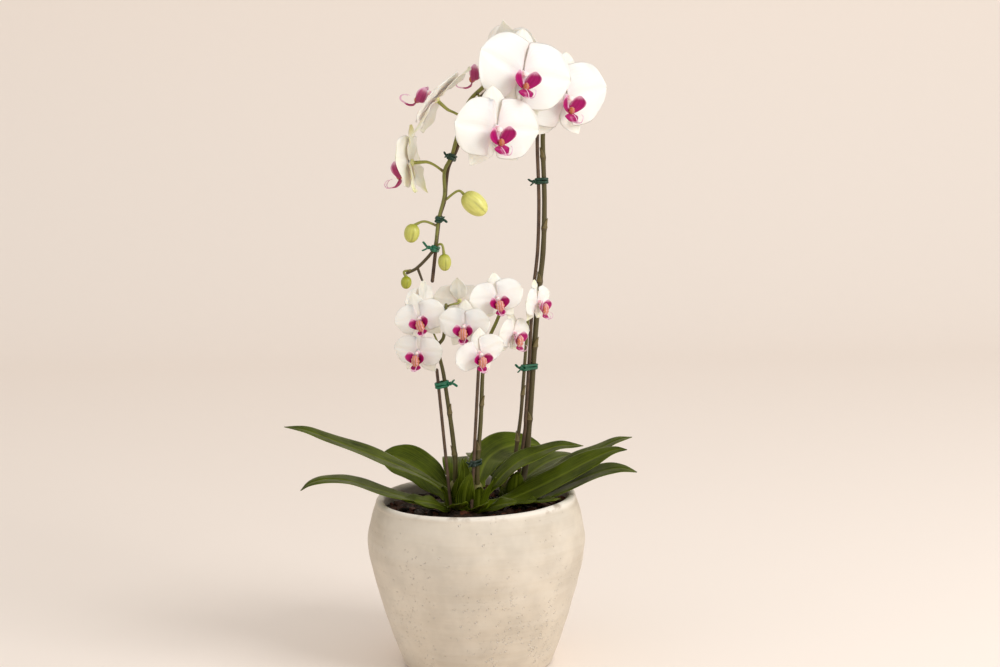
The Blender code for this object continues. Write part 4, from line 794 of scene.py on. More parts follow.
def lopsided(points):
    """A pot thrown by hand: its mouth is oval by cos 2a, and its rim slopes towards -X by the cube of
    height."""
    points = points.copy()
    rise = points[:, 2] / POT_HEIGHT
    angle = np.arctan2(points[:, 1], points[:, 0])
    points[:, :2] *= (1 + POT_OUT_OF_ROUND * rise * np.cos(2 * angle + 0.8))[:, None]
    points[:, 2] += POT_RIM_SLOPE * points[:, 0] * np.clip(rise, 0, 1) ** 3
    return points


def inner_radius(height, wall):
    """Radius of the pot's inside at a height: that of its outside, the smooth curve through its outline,
    less the wall."""
    outside = curve_through(POT_OUTLINE, 0.0015)
    return np.interp(height, outside[:, 1], outside[:, 0]) - wall


def pot_shape(settings):
    """The pot's section turned about its axis: flat foot, quarter round, outer wall, half round rim, inner
    wall, fillet and floor. Low ripples stand in for the thrower's fingers."""
    foot = POT_OUTLINE[0][0] - POT_FOOT_ROUND
    quarter = np.linspace(0, math.pi / 2, 7)[:-1]
    half = settings.wall / 2
    turn = np.linspace(0, math.pi, 17)
    heights = np.linspace(*POT_INSIDE, 60)
    inside = inner_radius(heights, settings.wall)
    shape = turned(np.vstack([
        fields(np.linspace(POLE_RADIUS, foot, 10)[:-1], 0.0),
        fields(foot + POT_FOOT_ROUND * np.sin(quarter), POT_FOOT_ROUND * (1 - np.cos(quarter))),
        curve_through(POT_OUTLINE, 0.0015),
        fields(POT_OUTLINE[-1][0] - half + half * np.cos(turn), POT_HEIGHT - half + half * np.sin(turn)),
        fields(inside, heights),
        fields(np.linspace(inside[-1] - POT_FLOOR_FILLET, POLE_RADIUS, 12), POT_FLOOR),
    ]), 200)
    points = shape["points"]
    radial = points * (1, 1, 0) / np.maximum(np.linalg.norm(points[:, :2], axis=1), 1e-6)[:, None]
    finger = ripple(points * (1, 1, 3.5), 0.060, 5) * ease(points[:, 2], 0.004, 0.03)
    shape["points"] = lopsided(points + (settings.unevenness * finger)[:, None] * radial)
    return shape


def mix_bed():
    """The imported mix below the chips: inside the pot's wall by half a millimetre, with a crumbled top."""
    edge_height = MIX_LEVEL - 0.002
    heights = np.linspace(0.030, edge_height, 24)
    side = fields(inner_radius(heights, POT_WALL) - 0.0005, heights)
    share = np.linspace(0.97, 0.02, 46)
    top = fields(side[-1, 0] * share, edge_height + MIX_DOME * (1 - share**2))
    floor = fields(np.array((POLE_RADIUS, side[0, 0] - POT_FLOOR_FILLET)), POT_FLOOR + 0.0004)
    shape = turned(np.vstack([floor, side, top]), 96, paint=(0.2, 0, 0))
    points = shape["points"]
    crumble = 0.0011 * ripple(points, 0.009, 3) + 0.0007 * ripple(points, 0.004, 4)
    points[:, 2] += crumble * (points[:, 2] > MIX_LEVEL - 0.0025)
    shape["points"] = lopsided(points)
    return shape


def bark_chips(settings):
    """Chips of bark on the mix. Each is a bar of eight sides and four rings whose section is |x|^3 + |y|^3 =
    1, stretched, turned, tipped and roughened by a seeded draw. None stands in a crown, a stake or the
    wire."""
    draw = np.random.default_rng(11)
    count = settings.chip_count
    taken = np.array([crown[:2] for crown in CROWNS.values()] + [WIRE_ENTRY] + [s[0] for s in STAKES.values()])
    room = np.array([crown[2] + 0.0055 for crown in CROWNS.values()] + [0.0060] * 3)
    radius = MIX_RADIUS * np.sqrt(draw.random(4 * count))
    angle = draw.uniform(0, TURN, 4 * count)
    place = fields(radius * np.cos(angle), radius * np.sin(angle))
    place = place[(np.linalg.norm(place[:, None] - taken, axis=2) > room).all(axis=1)][:count]
    count = len(place)
    ring = np.linspace(0, TURN, 8, endpoint=False) + math.pi / 8
    section = fields(*(np.sign(way) * np.abs(way) ** 0.66 for way in (np.cos(ring), np.sin(ring))))
    bar = np.vstack([np.hstack([np.full((8, 1), x), section * s])
                     for x, s in ((-1.0, 0.70), (-0.72, 1.0), (0.72, 1.0), (1.0, 0.70))])
    long = draw.uniform(0.55, 1.25, (count, 1, 1)) * settings.chip_length / 2
    size = long * np.concatenate([np.ones((count, 1, 1)), draw.uniform(0.42, 0.75, (count, 1, 1)),
                                  draw.uniform(0.22, 0.42, (count, 1, 1))], axis=2)
    points = bar * (1 + draw.normal(0, 0.09, (count, len(bar), 3))) * size
    turn = draw.uniform(0, TURN, count)
    along = unit(fields(np.cos(turn), np.sin(turn), draw.normal(0, 0.30, count)))
    rough_up = unit(fields(draw.normal(0, 0.35, count), draw.normal(0, 0.35, count), 1.0))
    across = unit(np.cross(rough_up, along))
    axes = np.stack([along, across, np.cross(along, across)], axis=1)
    share = np.linalg.norm(place, axis=1) / MIX_RADIUS
    lift = draw.uniform(-0.0008, 0.0034, count) * (1.1 - share**3)
    height = MIX_LEVEL - 0.0012 + MIX_DOME * (1 - share**2) + lift
    world = lopsided((fields(*place.T, height)[:, None] + points @ axes).reshape(-1, 3))
    ends = np.stack([np.arange(8)[::-1], np.arange(8) + 24])
    start = (np.arange(count) * len(bar))[:, None, None]
    tint = np.repeat(draw.random((count, 3)), len(bar), axis=0)
    grain = points + draw.uniform(-1, 1, (count, 1, 3))
    faces = [(grid_quads(4, 8, wrap=True) + start).reshape(-1, 4), (ends + start).reshape(-1, 8)]
    return closed_surface(world, faces, grain, tint)


# ---------------------------------------------------------------- stems


def spike_path(name):
    return curve_through(SPIKES[name][0], 0.0016)


def spike_radii(name, path):
    """An even taper, with a swelling of exp(-(d / 2.6 mm)^2) at each node and a ripple of a few
    hundredths."""
    along = lengths(path)
    radii = np.interp(along / along[-1], (0, 1), SPIKES[name][1])
    swelling = np.max([hump(along - along[nearest(path, place)], 0.0026) for place in SPIKES[name][3]], axis=0)
    return radii * (1 + 0.22 * swelling + 0.03 * ripple(path, 0.02, 8)), swelling


def clasping(path, radii, index, length, facing, wrap, lean, thickness):
    """A sheath round a stem: its rows climb the stem while its half angle shrinks as wrap (1 - v^1.5), and it
    stands off the skin by 0.2 mm + lean v^2."""
    along = lengths(path)
    v = np.linspace(0, 1, 12)
    at = along[index] + v * length
    radius = (np.interp(at, along, radii) + 0.0002 + lean * v**2)[:, None]
    heading = tangents(path)[index]
    front = unit(facing - heading * np.dot(facing, heading))
    side = np.cross(heading, front)
    across = np.linspace(-1, 1, 9)
    angle = (wrap * (1 - 0.94 * v**1.5))[:, None] * across
    way = np.cos(angle)[..., None] * front + np.sin(angle)[..., None] * side
    middle = read_along(path, along, at)[:, None] + radius[..., None] * way
    paint = fields(0.16 + 0.5 * v[:, None], np.abs(across), 0.0)
    return blade(middle, thickness, fields(radius * angle, at[:, None], 0.0), paint)


def bract(path, radii, index, length, facing, wrap):
    """A thin dry sheath at a stem's node."""
    shape = clasping(path, radii, index, length, facing, wrap, 0.0008, 0.0005)
    shape["paint"][:] = (0.35, 0.8, 0.0)
    return shape


def leaf_base(crown, foot, length, lean, heading, wrap):
    """The sheath of an old leaf that clasps a crown and leans away from it towards its point."""
    x, y, radius, _ = CROWNS[crown]
    path = fields(x, y, np.linspace(foot, foot + 0.08, 60))
    turn = math.radians(heading)
    facing = (math.cos(turn), math.sin(turn), 0.0)
    return clasping(path, np.full(60, radius + 0.0005), 0, length, facing, wrap, lean, 0.0014)


def bloom_axes(bloom):
    """A bloom's own directions, as rows: to its right as seen from the front, up, and out of its face."""
    a, p, r = (math.radians(angle) for angle in BLOOMS[bloom][5:8])
    out = np.array((math.sin(a) * math.cos(p), -math.cos(a) * math.cos(p), math.sin(p)))
    right = np.array((math.cos(a), math.sin(a), 0.0))
    up = np.cross(out, right)
    return np.stack([math.cos(r) * right + math.sin(r) * up, math.cos(r) * up - math.sin(r) * right, out])


def stalk_shapes(bloom, path):
    """A flower's stalk: a cubic arc from inside the spike to behind the bloom, then straight to it. It
    thickens into the ovary, and a small bract stands at its foot."""
    kind, _, centre, place, *_, green = BLOOMS[bloom]
    out = bloom_axes(bloom)[2]
    start = path[nearest(path, place)]
    end = centre - RECEPTACLE_BACK * BLOOM_SCALE[kind] * out
    behind = end - STALK_STRAIGHT[kind] * out
    reach = np.linalg.norm(behind - start)
    leave = start + 0.45 * reach * unit(unit(behind - start) + (0, 0, 0.35))
    arrive = behind - 0.25 * reach * out
    t = np.linspace(0, 1, 30)[:, None]
    arc = (1 - t) ** 3 * start + 3 * (1 - t) ** 2 * t * leave + 3 * (1 - t) * t**2 * arrive + t**3 * behind
    route = curve_through(np.vstack([arc, end])[::3], 0.0012)
    share = np.linspace(0, 1, len(route))
    radii = STALK_RADIUS[kind] * (0.82 + 0.34 * ease(share, 0.35, 0.95))
    fresh = (0.74 + 0.10 * share + 0.2 * green).clip(0, 1)
    stalk = rod(route, radii, 10, fields(fresh, 0.25 * ease(share, 0.12, 0.0), share))
    return [stalk, bract(route, radii, 2, STALK_BRACT[kind], (0.2, -1.0, 0.3), 1.5)]


def crown_profile(name):
    """Heights up a crown, and the share of its radius at each."""
    top = CROWNS[name][3]
    return np.array([*CROWN_SHAPE, *((top + above, share) for above, share in CROWN_TOP_SHAPE)]).T


def crown_shape(name):
    """The short stem between the leaves: its radius follows the crown's profile, smoothed."""
    x, y, radius, _ = CROWNS[name]
    heights, shares = crown_profile(name)
    outline = curve_through(fields(radius * shares, heights), 0.003)
    return turned(outline, 24, (x, y, 0), paint=(0.62, 0.35, 0))


def bud_shapes(path):
    """Buds: r = w sin(a)^0.9 (1 + 0.05 cos a), pulled in by 6% along three seams where the sepals meet, each
    on a thin stalk that bends down."""
    buds, stalks = [], []
    angle = np.linspace(0.06, math.pi - 0.05, 30)
    for (place, bend, centre), (half_length, half_width), tip, dark in BUDS:
        third = unit(tip)
        start = path[nearest(path, place)]
        route = curve_through([start, bend, centre - 0.8 * half_length * third], 0.0010)
        share = np.linspace(0, 1, len(route))
        radii = BUD_STALK_RADIUS * (0.9 + 0.35 * ease(share, 0.6, 1.0))
        stalks.append(rod(route, radii, 10, fields(0.80 + 0.12 * share, 0.0, share)))
        stalks.append(bract(route, radii, 2, 0.0035, (0.0, -1.0, 0.2), 1.4))
        radius = half_width * np.sin(angle) ** 0.9 * (1 + 0.05 * np.cos(angle))
        first = unit(np.cross(third, (0.31, 0.93, 0.17)))
        axes = np.stack([first, np.cross(third, first), third])
        shape = turned(fields(radius, -half_length * np.cos(angle)), 48, centre, axes)
        grain = shape["grain"]
        around = np.arctan2(grain[:, 1], grain[:, 0]) * 3 / TURN % 1
        seam = hump(around - 0.5, 0.055) * ease(grain[:, 2], -half_length * 0.7, half_length * 0.2)
        shape["points"] -= (0.06 * seam)[:, None] * (grain * (1, 1, 0)) @ axes
        base = 0.5 * ease(grain[:, 2], -0.4 * half_length, -half_length)
        shape["paint"] = fields((dark + base).clip(0, 1), 0.8 * seam, 0.0)
        buds.append(shape)
    return buds, stalks


def wire_path():
    """The wire's route: the tall spike's, moved square to it towards the side that WIRE_SIDES names, with its
    foot straight down in the mix and its end cut."""
    spike = curve_through(SPIKES["tall"][0], 0.006)
    wanted = read_along(WIRE_SIDES[:, 1:], WIRE_SIDES[:, 0], np.linspace(0, 1, len(spike)))
    heading = tangents(spike)
    wanted -= heading * (wanted * heading).sum(1)[:, None]
    beside = spike + WIRE_OFFSET * unit(wanted)
    top = int(np.argmax(spike[:, 2]))
    first = int(np.argmax(spike[:, 2] > WIRE_START_HEIGHT))
    last = top + int(np.argmax(spike[top:, 2] < WIRE_LAST_HEIGHT))
    above = curve_through([(*WIRE_ENTRY, WIRE_BEND_HEIGHT), *beside[first:last:3], WIRE_CUT_END], 0.002)
    foot = fields(*WIRE_ENTRY, np.linspace(WIRE_FOOT, WIRE_BEND_HEIGHT, 12)[:-1])
    return np.vstack([foot, above])


def stake_path(name):
    """A straight stake from its foot in the mix to its top."""
    entry, top = (np.array(point) for point in STAKES[name])
    rise = (STAKE_FOOT - MIX_LEVEL) / (top[2] - MIX_LEVEL)
    foot = np.array((*(entry + (top[:2] - entry) * rise), STAKE_FOOT))
    return foot + np.linspace(0, 1, 90)[:, None] * (top - foot)


def held_section(path, radii, centre, axis):
    """Where a stem crosses the plane through the centre square to the axis, nearest to it, and its radius."""
    side = (path - centre) @ axis
    crossing = np.flatnonzero(side[:-1] * side[1:] <= 0)
    best = crossing[np.argmin(np.linalg.norm(path[crossing] - centre, axis=1))]
    share = side[best] / (side[best] - side[best + 1])
    return path[best] + share * (path[best + 1] - path[best]), radii[best]


def tie_shape(name, stems, settings):
    """A tie: a band wound nearly three times round the stems that it holds, on the outline whose support
    towards each angle is the largest of c . d + r of the stems. Beside it two strands twist together, then
    flare."""
    held, (*centre, reach), (*towards, fresh) = TIES[name]
    path = stems[held[0]][0]
    axis = tangents(path)[nearest(path, centre)]
    first = unit(np.cross(axis, (0.0, 1.0, 0.15)))
    plane = np.stack([first, np.cross(axis, first)])
    ahead = fields(*circle(720))
    support = []
    for stem in held:
        place, radius = held_section(*stems[stem], centre, axis)
        support.append(ahead @ (plane @ (place - centre)) + radius + TIE_RADIUS * 0.5 + TIE_CLEARANCE)
    support = np.max(support, axis=0)
    slope = (np.roll(support, -1) - np.roll(support, 1)) / (TURN / 360)
    outline = support[:, None] * ahead + slope[:, None] * ahead[:, ::-1] * (-1, 1)
    ring = np.vstack([outline, outline[:1]])
    along = lengths(ring)
    start = np.argmax(outline @ (plane @ towards))
    turn = np.linspace(0, 1, 150) * TIE_TURNS + 0.07
    at = (along[start] + turn * along[-1]) % along[-1]
    climb = settings.tie_width * 0.85 * np.sin(math.pi * 0.7 * (turn - 1.5))
    loop = centre + read_along(ring, along, at) @ plane + climb[:, None] * axis
    knot = centre + outline[start] @ plane
    direction = unit(towards - axis * np.dot(towards, axis) * 0.6)
    across = np.cross(direction, axis)
    paint = (fresh, 0, 0)
    half = settings.tie_width * 0.5
    x = np.linspace(0, 1, 40)[:, None]
    parts = []
    for hand in (-1, 1):
        spin = math.pi * 2.6 * x + (0 if hand > 0 else math.pi)
        swirl = TIE_RADIUS * (1 - 0.2 * x) * (np.cos(spin) * axis + np.sin(spin) * across)
        twist = knot + x * 0.42 * reach * direction + swirl
        flare = twist[-1] + x[1:] * 0.62 * reach * unit(direction + hand * 0.75 * axis)
        flare = flare + 0.0016 * np.sin(2.2 * x[1:]) * across * hand
        strand = curve_through(np.vstack([twist[::3], flare[::6], flare[-1:]]), 0.0005)
        parts.append(rod(strand, half, 8, paint, flat=0.6))
    return joined([*parts, rod(loop, half, 8, paint)])


# ---------------------------------------------------------------- leaves, blooms and lips


def leaf_shape(row, seed, settings):
    """A leaf: across its rib by w t, folded up as fold w |t|^1.3, with margins that undulate. A groove runs
    along the midrib above, exp(-(x / 1.3 mm)^2) deep, with a keel below."""
    crown, base_height, half_width, heading, widest, fold, upper, route = row
    x, y, radius, _ = CROWNS[crown]
    reach = radius * np.interp(base_height, *crown_profile(crown)) + LEAF_SEAT
    turn = math.radians(heading)
    base = (x + reach * math.cos(turn), y + reach * math.sin(turn), base_height)
    rib = curve_through([base, *route], 0.0005)
    rows, columns = LEAF_GRID
    s = np.linspace(0, 1, rows)
    s = s + 0.10 * np.sin(TURN * s) / TURN
    s = s / s[-1]
    rib = rib[np.round(s * (len(rib) - 1)).astype(int)]
    bulge = np.where(s < widest, s / widest, 1 + (s - widest) / (1 - widest))
    width = np.sin(bulge * math.pi / 2).clip(0) ** 0.75 * half_width
    width = np.maximum(width, np.interp(s, (0, 0.5, 1), (LEAF_BASE_HALF_WIDTH, 0, 0.0005)))
    width = np.minimum(width, np.interp(s, (0, 0.12, 0.3), (LEAF_BASE_HALF_WIDTH, LEAF_NECK_HALF_WIDTH, 0.1)))
    ahead = tangents(rib)
    across = unit(np.cross(ahead, unit(upper)))
    normal = np.cross(across, ahead)
    s, width = s[:, None], width[:, None]
    t = np.linspace(-1, 1, columns)
    t = np.sign(t) * np.abs(t) ** 0.9
    wave = settings.wave * np.sin(TURN * (2.3 * s + 0.4 * seed) + np.sign(t) * 0.9) * t**2
    wave = wave * ease(s, 0.1, 0.35) * ease(s, 1.0, 0.8)
    lift = fold * width * np.abs(t) ** 1.3 + wave
    middle = rib[:, None] + (width * t)[..., None] * across[:, None] + lift[..., None] * normal[:, None]
    groove = ease(s, 1.0, 0.85) * hump(width * t, 0.0013)
    thick = settings.thickness * (1.05 - 0.45 * t**2) * ease(s, 1.02, 0.9).clip(0.35)
    grain = fields(width * t + seed, lengths(rib)[:, None], 0.0)
    return blade(middle, thick, grain, fields(s, np.abs(t), 0.0), -0.0006 * groove, 0.0009 * groove)


def tepal_width(s, a, b, c, claw, tip):
    """Share of the half width along a tepal: (1 - |2 s^a - 1|^b)^c, but no less than at its claw and tip."""
    return np.maximum((1 - np.abs(2 * s**a - 1) ** b).clip(0) ** c, claw * (s < 0.5) + tip)


def tepal_shape(petal, size, grid, angle, tilt, offset, cup, arch, scale, phase, mark, settings):
    """A petal or sepal in the bloom's own directions. It runs out at an angle and leans forward by the tilt.
    Its surface lies at -arch L s^2 - cup w t^2 + wave sin(2 pi 1.3 s + phase) t|t|, with a ruffle of the
    margin and a shallow trough along the middle."""
    length, half_width = size
    rows, columns = grid
    s = 0.5 - 0.5 * np.cos(np.linspace(0, 1, rows) * math.pi)
    s = (0.35 * s + 0.65 * np.linspace(0, 1, rows) ** 0.92)[:, None]
    t = np.linspace(-1, 1, columns)
    t = 0.6 * t + 0.4 * np.sin(t * math.pi / 2)
    width = half_width * tepal_width(s, *(PETAL_FORM if petal else SEPAL_FORM))
    along = TEPAL_START + length * 0.995 * s
    lift = -arch * length * s**2 - cup * width * t**2
    lift = lift + settings.wave * scale * np.sin(TURN * s * 1.3 + phase) * t * np.abs(t)
    lift = lift + settings.ruffle * scale * np.sin(TURN * (2.6 * s + 0.8 * t) + 2.1 * phase) * t**4
    lift = lift - 0.05 * width * hump(t, 0.16) * ease(s, 0.02, 0.3)
    out = np.array((math.cos(angle), math.sin(angle), 0.0))
    side = np.array((-math.sin(angle), math.cos(angle), 0.0))
    front = np.array((0.0, 0.0, 1.0))
    lean_out = math.cos(tilt) * out + math.sin(tilt) * front
    lean_front = math.cos(tilt) * front - math.sin(tilt) * out
    shoulder, place, spread = PETAL_SHOULDER
    fall = TEPAL_ROUND + petal * shoulder * hump(s - place, spread)
    reach = along - fall * width * t**2
    middle = reach[..., None] * lean_out + (width * t)[..., None] * side + lift[..., None] * lean_front
    middle = middle + offset * front
    blush, green, shift = mark
    centre = hump(reach, 0.0115 * length / 0.05) * blush
    tip = ease(s, 0.5, 1.0) * (1 - 0.4 * np.abs(t)) + 0.5
    thin = settings.thickness * (1.15 - 0.45 * np.abs(t)) * (0.8 + 0.5 * np.exp(-s * 8))
    return blade(middle, thin, fields(0.030 * t + shift, along, shift), fields(centre, green * tip, 0.0))


def placed(bloom, shape, scale=1.0):
    """A shape from the bloom's own directions to its place."""
    shape["points"] = BLOOMS[bloom][2] + shape["points"] * scale @ bloom_axes(bloom)
    return shape


def column_shape(kind):
    """The bloom's middle: its smoothed section turned about the way out, flattened below into the column's
    face and drawn down towards the cap."""
    scale = BLOOM_SCALE[kind]
    shape = turned(curve_through(CORE_OUTLINE, 0.0004) * scale, 28)
    points = shape["points"]
    forward = points[:, 2] / scale
    hollow = ease(forward, 0.0035, 0.0060) * ease(forward, 0.0116, 0.0100)
    below = ease(-points[:, 1] / scale, 0.0008, 0.0026)
    points[:, 1] += scale * 0.0011 * hollow * below
    points[:, 1] -= scale * 0.0006 * ease(forward, 0.006, 0.0118)
    cap = ease(forward, 0.0084, 0.0098)
    flush = ease(forward, 0.0012, 0.0050) * (1 - 0.8 * cap) * 0.85
    back = ease(forward, 0.0005, -0.0020)
    shape["paint"] = fields(flush + 0.15, 0.75 * back, 1 - back)
    return shape


def bloom_shape(name, settings):
    """A bloom's two petals, three sepals and column. Each tepal differs a little by a draw seeded for the
    bloom."""
    kind, _, _, _, size, _, _, _, right, left, backs = BLOOMS[name]
    draw = random.Random(TEPAL_SEED + list(BLOOMS).index(name))
    scale = BLOOM_SCALE[kind]
    parts = []
    for index, (row, turn) in enumerate(zip(TEPALS, (right, left, 0, 0, 0))):
        which, angle, tilt, offset, cup, arch, blush, green = row
        vary = size * draw.uniform(*TEPAL_VARIES)
        swung = math.radians(angle + turn + draw.uniform(-TEPAL_SWING, TEPAL_SWING))
        nod = math.radians(tilt + draw.uniform(-TEPAL_NOD, TEPAL_NOD))
        phase = draw.uniform(0, TURN)
        mark = (blush, green * backs, 0.1 * index + 0.013 * len(name))
        parts.append(tepal_shape(
            which == 0, TEPAL_SIZES[kind][which] * vary, TEPAL_GRIDS[kind][which > 0], swung, nod,
            offset * scale, cup, arch, scale, phase, mark, settings))
    return placed(name, joined([*parts, column_shape(kind)]))


def lip_strip(kind):
    """The claw and middle lobe: the smooth curve through LIP_STRIP carries a section (w t, 0.2 w |t|^1.4,
    0.1 w |t|^1.4), deep in the middle and pale at its tip."""
    rows = curve_through(LIP_STRIP[kind], 0.0007)
    t = np.linspace(-1, 1, 15)
    up, forward, half = rows[:, :1], rows[:, 1:2], rows[:, 2:]
    curl = half * np.abs(t) ** 1.4
    s = np.linspace(0, 1, len(rows))[:, None]
    pale = 0.95 * ease(s, 0.80, 0.93) + 0.35 * hump(t, 0.3) * ease(s, 0.45, 0.6) + 0.9 * ease(s, 0.30, 0.12)
    orange = 0.55 * ease(s, 0.22, 0.30) * ease(s, 0.46, 0.38) * hump(t, 0.7)
    middle = fields(half * t, up + 0.2 * curl, forward + 0.1 * curl)
    grain = fields(half * t, lengths(rows)[:, None], 0.0)
    return blade(middle, 0.0010, grain, fields(pale.clip(0, 1), orange, 0.0))


def lip_lobe(kind, hand):
    """A side lobe: rows climb from the strip's edge, out by a + b sin(pi u / 2) and forward evenly, and
    spread as h j with h = c + d sin(pi (0.12 + 0.74 u)), drawn in towards a round top. Its outer face is
    paler."""
    up, forward, wide = LIP_STRIP[kind][1:4].T
    foot = fields(wide, up + 0.2 * wide, forward + 0.1 * wide)
    u = (np.linspace(0, 1, 24) ** 0.85)[:, None]
    j = np.linspace(-1, 1, 17)
    half = LOBE_HALF_WIDTH[0] + LOBE_HALF_WIDTH[1] * np.sin(math.pi * (0.12 + 0.74 * u))
    half = half * (1 - ((u - 0.46) / 0.54).clip(0) ** 2.4).clip(0.02) ** 0.5
    out = LOBE_OUT[0] + LOBE_OUT[1] * np.sin(0.5 * math.pi * u)
    lobe = fields(
        out + LOBE_FLARE * j * half - 0.0016 * j * j - 0.0012 * ease(u, 0.6, 1.0),
        LOBE_RISE[0] - LOBE_RISE[1] * (1 - u),
        LOBE_FORWARD[0] + LOBE_FORWARD[1] * u + LOBE_REACH * j * half,
    )
    share = ease(u, 0.0, 0.42)[..., None]
    middle = ((1 - share) * read_along(foot, (-1, 0, 1), j) + share * lobe) * (hand, 1, 1)
    rim = np.maximum(ease(np.abs(j), 0.62, 1.0) * ease(u, 0.2, 0.5), ease(u, 0.72, 1.0))
    pale = (0.55 * rim + 0.25 * ease(u, 0.5, 1.0)).clip(0, 1)
    orange = 0.45 * ease(u, 0.16, 0.0)
    shape = blade(middle, 0.0009, fields(0.006 * j, 0.015 * u, 0.0), fields(pale, orange, 0.0))
    paint = shape["paint"]
    normal = np.cross(np.gradient(middle, axis=1), np.gradient(middle, axis=0))
    upper_is_outer = normal[8:16, 4:12, 0].mean() * hand > 0
    outer = paint[:, 2] if upper_is_outer else 1 - paint[:, 2]
    paint[:, 0] = (paint[:, 0] + 0.22 * outer).clip(0, 1)
    return shape


def lip_callus(kind):
    """The callus between the side lobes: an egg with ridges down it, r (1 + 0.07 cos 9a), orange with red
    flecks. A small bloom's is broader and paler."""
    (size, middle), pale = CALLUS[kind]
    angle = np.linspace(0.12, math.pi - 0.12, 20)
    shape = turned(fields(np.sin(angle), -np.cos(angle)), 54)
    egg = shape["grain"]
    swell = 1 + 0.07 * np.cos(9 * np.arctan2(egg[:, 1], egg[:, 0]))
    points = egg * swell[:, None] * size
    stripe = 0.5 + 0.5 * np.cos(points[:, 0] * TURN / CALLUS_STRIPE)
    paint = fields(pale + (1 - pale) * stripe, 1 - 0.7 * pale * stripe, 0.0)
    return {**shape, "points": points + middle, "grain": points, "paint": paint}


def lip_tendril(kind, hand):
    """A thin tapering tendril that curls back from the tip of the middle lobe."""
    up, forward, _ = LIP_STRIP[kind][-1]
    route = np.vstack([(0.0008, up, forward - 0.0006), LIP_TENDRIL[kind]])
    path = curve_through(route * (hand, 1, 1), 0.0006)
    share = np.linspace(0, 1, len(path))
    return rod(path, 0.00062 - 0.00038 * share, 8, fields(0.85, 0.0, share))


def lip_shape(name):
    kind = BLOOMS[name][0]
    parts = [lip_strip(kind), lip_lobe(kind, -1), lip_lobe(kind, 1), lip_callus(kind), lip_tendril(kind, -1),
             lip_tendril(kind, 1)]
    return placed(name, joined(parts), LIP_SCALE[kind])


# ---------------------------------------------------------------- settings


def colour(name, description, *picture):
    """A colour from its 0 to 255 in a picture, kept as the linear values that nodes use."""
    share = np.array(picture) / 255
    linear = np.where(share <= 0.04045, share / 12.92, ((share + 0.055) / 1.055) ** 2.4)
    return FloatVectorProperty(name=name, description=description, default=tuple(linear.tolist()), size=3,
                               min=0, max=1, subtype="COLOR")


def length(name, description, default):
    return FloatProperty(name=name, description=description, default=default, min=0, precision=5, unit="LENGTH",
                         subtype="DISTANCE")


def power(name, description, default):
    return FloatProperty(name=name, description=description, default=default, min=0, unit="POWER")


class PotSettings(bpy.types.PropertyGroup):
    """Sizes and clays of the pot."""

    wall: length("Wall", "Thickness of the pot's wall and rim", POT_WALL)
    unevenness: length("Unevenness", "Depth of the thrower's finger marks", 0.00035)
    pit_depth: length("Pit depth", "Depth of the pits in the clay", 0.0011)
    clay: colour("Clay", "Lighter clay", 216, 205, 188)
    stain: colour("Stain", "Darker clay of the soft patches", 202, 189, 170)
    wash: colour("Wash", "Pale wash in the turning marks", 224, 215, 202)
    pit: colour("Pits", "Inside of the pits", 160, 142, 121)
    # Pale crumbs, which are real, and the rim's pale coat, which is partly wear and partly a painted highlight.
    lime_and_highlight: colour("Lime", "Pale crumbs, and the worn rim", 246, 239, 228)


class MixSettings(bpy.types.PropertyGroup):
    """Chips and browns of the potting mix."""

    chip_count: IntProperty(name="Chips", description="Number of loose chips", default=620, min=1)
    chip_length: length("Chip length", "Length of a middling chip", 0.0165)
    bark: colour("Bark", "Usual brown of the bark", 66, 44, 28)
    bark_dark: colour("Dark bark", "Brown of wet bark", 30, 21, 14)
    bark_red: colour("Red bark", "Red-brown of fresh faces", 112, 60, 36)


class StemSettings(bpy.types.PropertyGroup):
    """Colours of the spikes, their stalks and their buds."""

    brown: colour("Brown", "Old skin", 66, 49, 30)
    olive: colour("Olive", "Skin half way", 98, 96, 42)
    fresh: colour("Fresh", "Young skin", 158, 160, 74)
    sheath: colour("Sheath", "Dry bracts", 128, 106, 66)
    bud: colour("Bud", "Ripe bud", 222, 218, 124)
    bud_dark: colour("Young bud", "Bud that is far from opening", 150, 154, 16)


class SupportSettings(bpy.types.PropertyGroup):
    """Sizes and colours of the wire, the stakes and the ties."""

    wire_radius: length("Wire radius", "Radius of the support wire", 0.0019)
    stake_radius: length("Stake radius", "Radius of the stakes", 0.00175)
    tie_width: length("Tie width", "Width of a tie's band", 0.0028)
    coat: colour("Coat", "Brown coat of the wire", 62, 44, 33)
    coat_worn: colour("Worn coat", "Coat where it is scuffed", 96, 74, 54)
    bright: colour("Bright tie", "Green of a new tie", 28, 118, 84)
    dark: colour("Dark tie", "Green of an old tie", 18, 40, 28)


class LeafSettings(bpy.types.PropertyGroup):
    """Sizes and greens of the leaves."""

    thickness: length("Thickness", "Thickness of a blade at its middle", 0.0020)
    wave: length("Wave", "Height of the margin's undulation", 0.0010)
    green: colour("Green", "Lighter green", 62, 75, 2)
    deep: colour("Deep green", "Darker green", 28, 38, 0)
    # The vein colour also paints the highlight along each leaf's margin.
    vein: colour("Veins", "Veins and midrib", 112, 122, 36)
    under: colour("Underside", "Underside and base", 96, 110, 14)


class BloomSettings(bpy.types.PropertyGroup):
    """Sizes and colours of the tepals."""

    thickness: length("Thickness", "Thickness of a petal", 0.0009)
    wave: length("Wave", "Height of the slow wave in a tepal", 0.0016)
    ruffle: length("Ruffle", "Height of the margin's ruffle", 0.0007)
    white: colour("White", "Warm white of the tepals", 250, 245, 236)
    shade: colour("Veins", "Veins in the white", 238, 226, 214)
    blush: colour("Blush", "Pink near the centre", 226, 158, 178)
    green: colour("Green", "Tint of the backs and the stalk's end", 204, 204, 98)


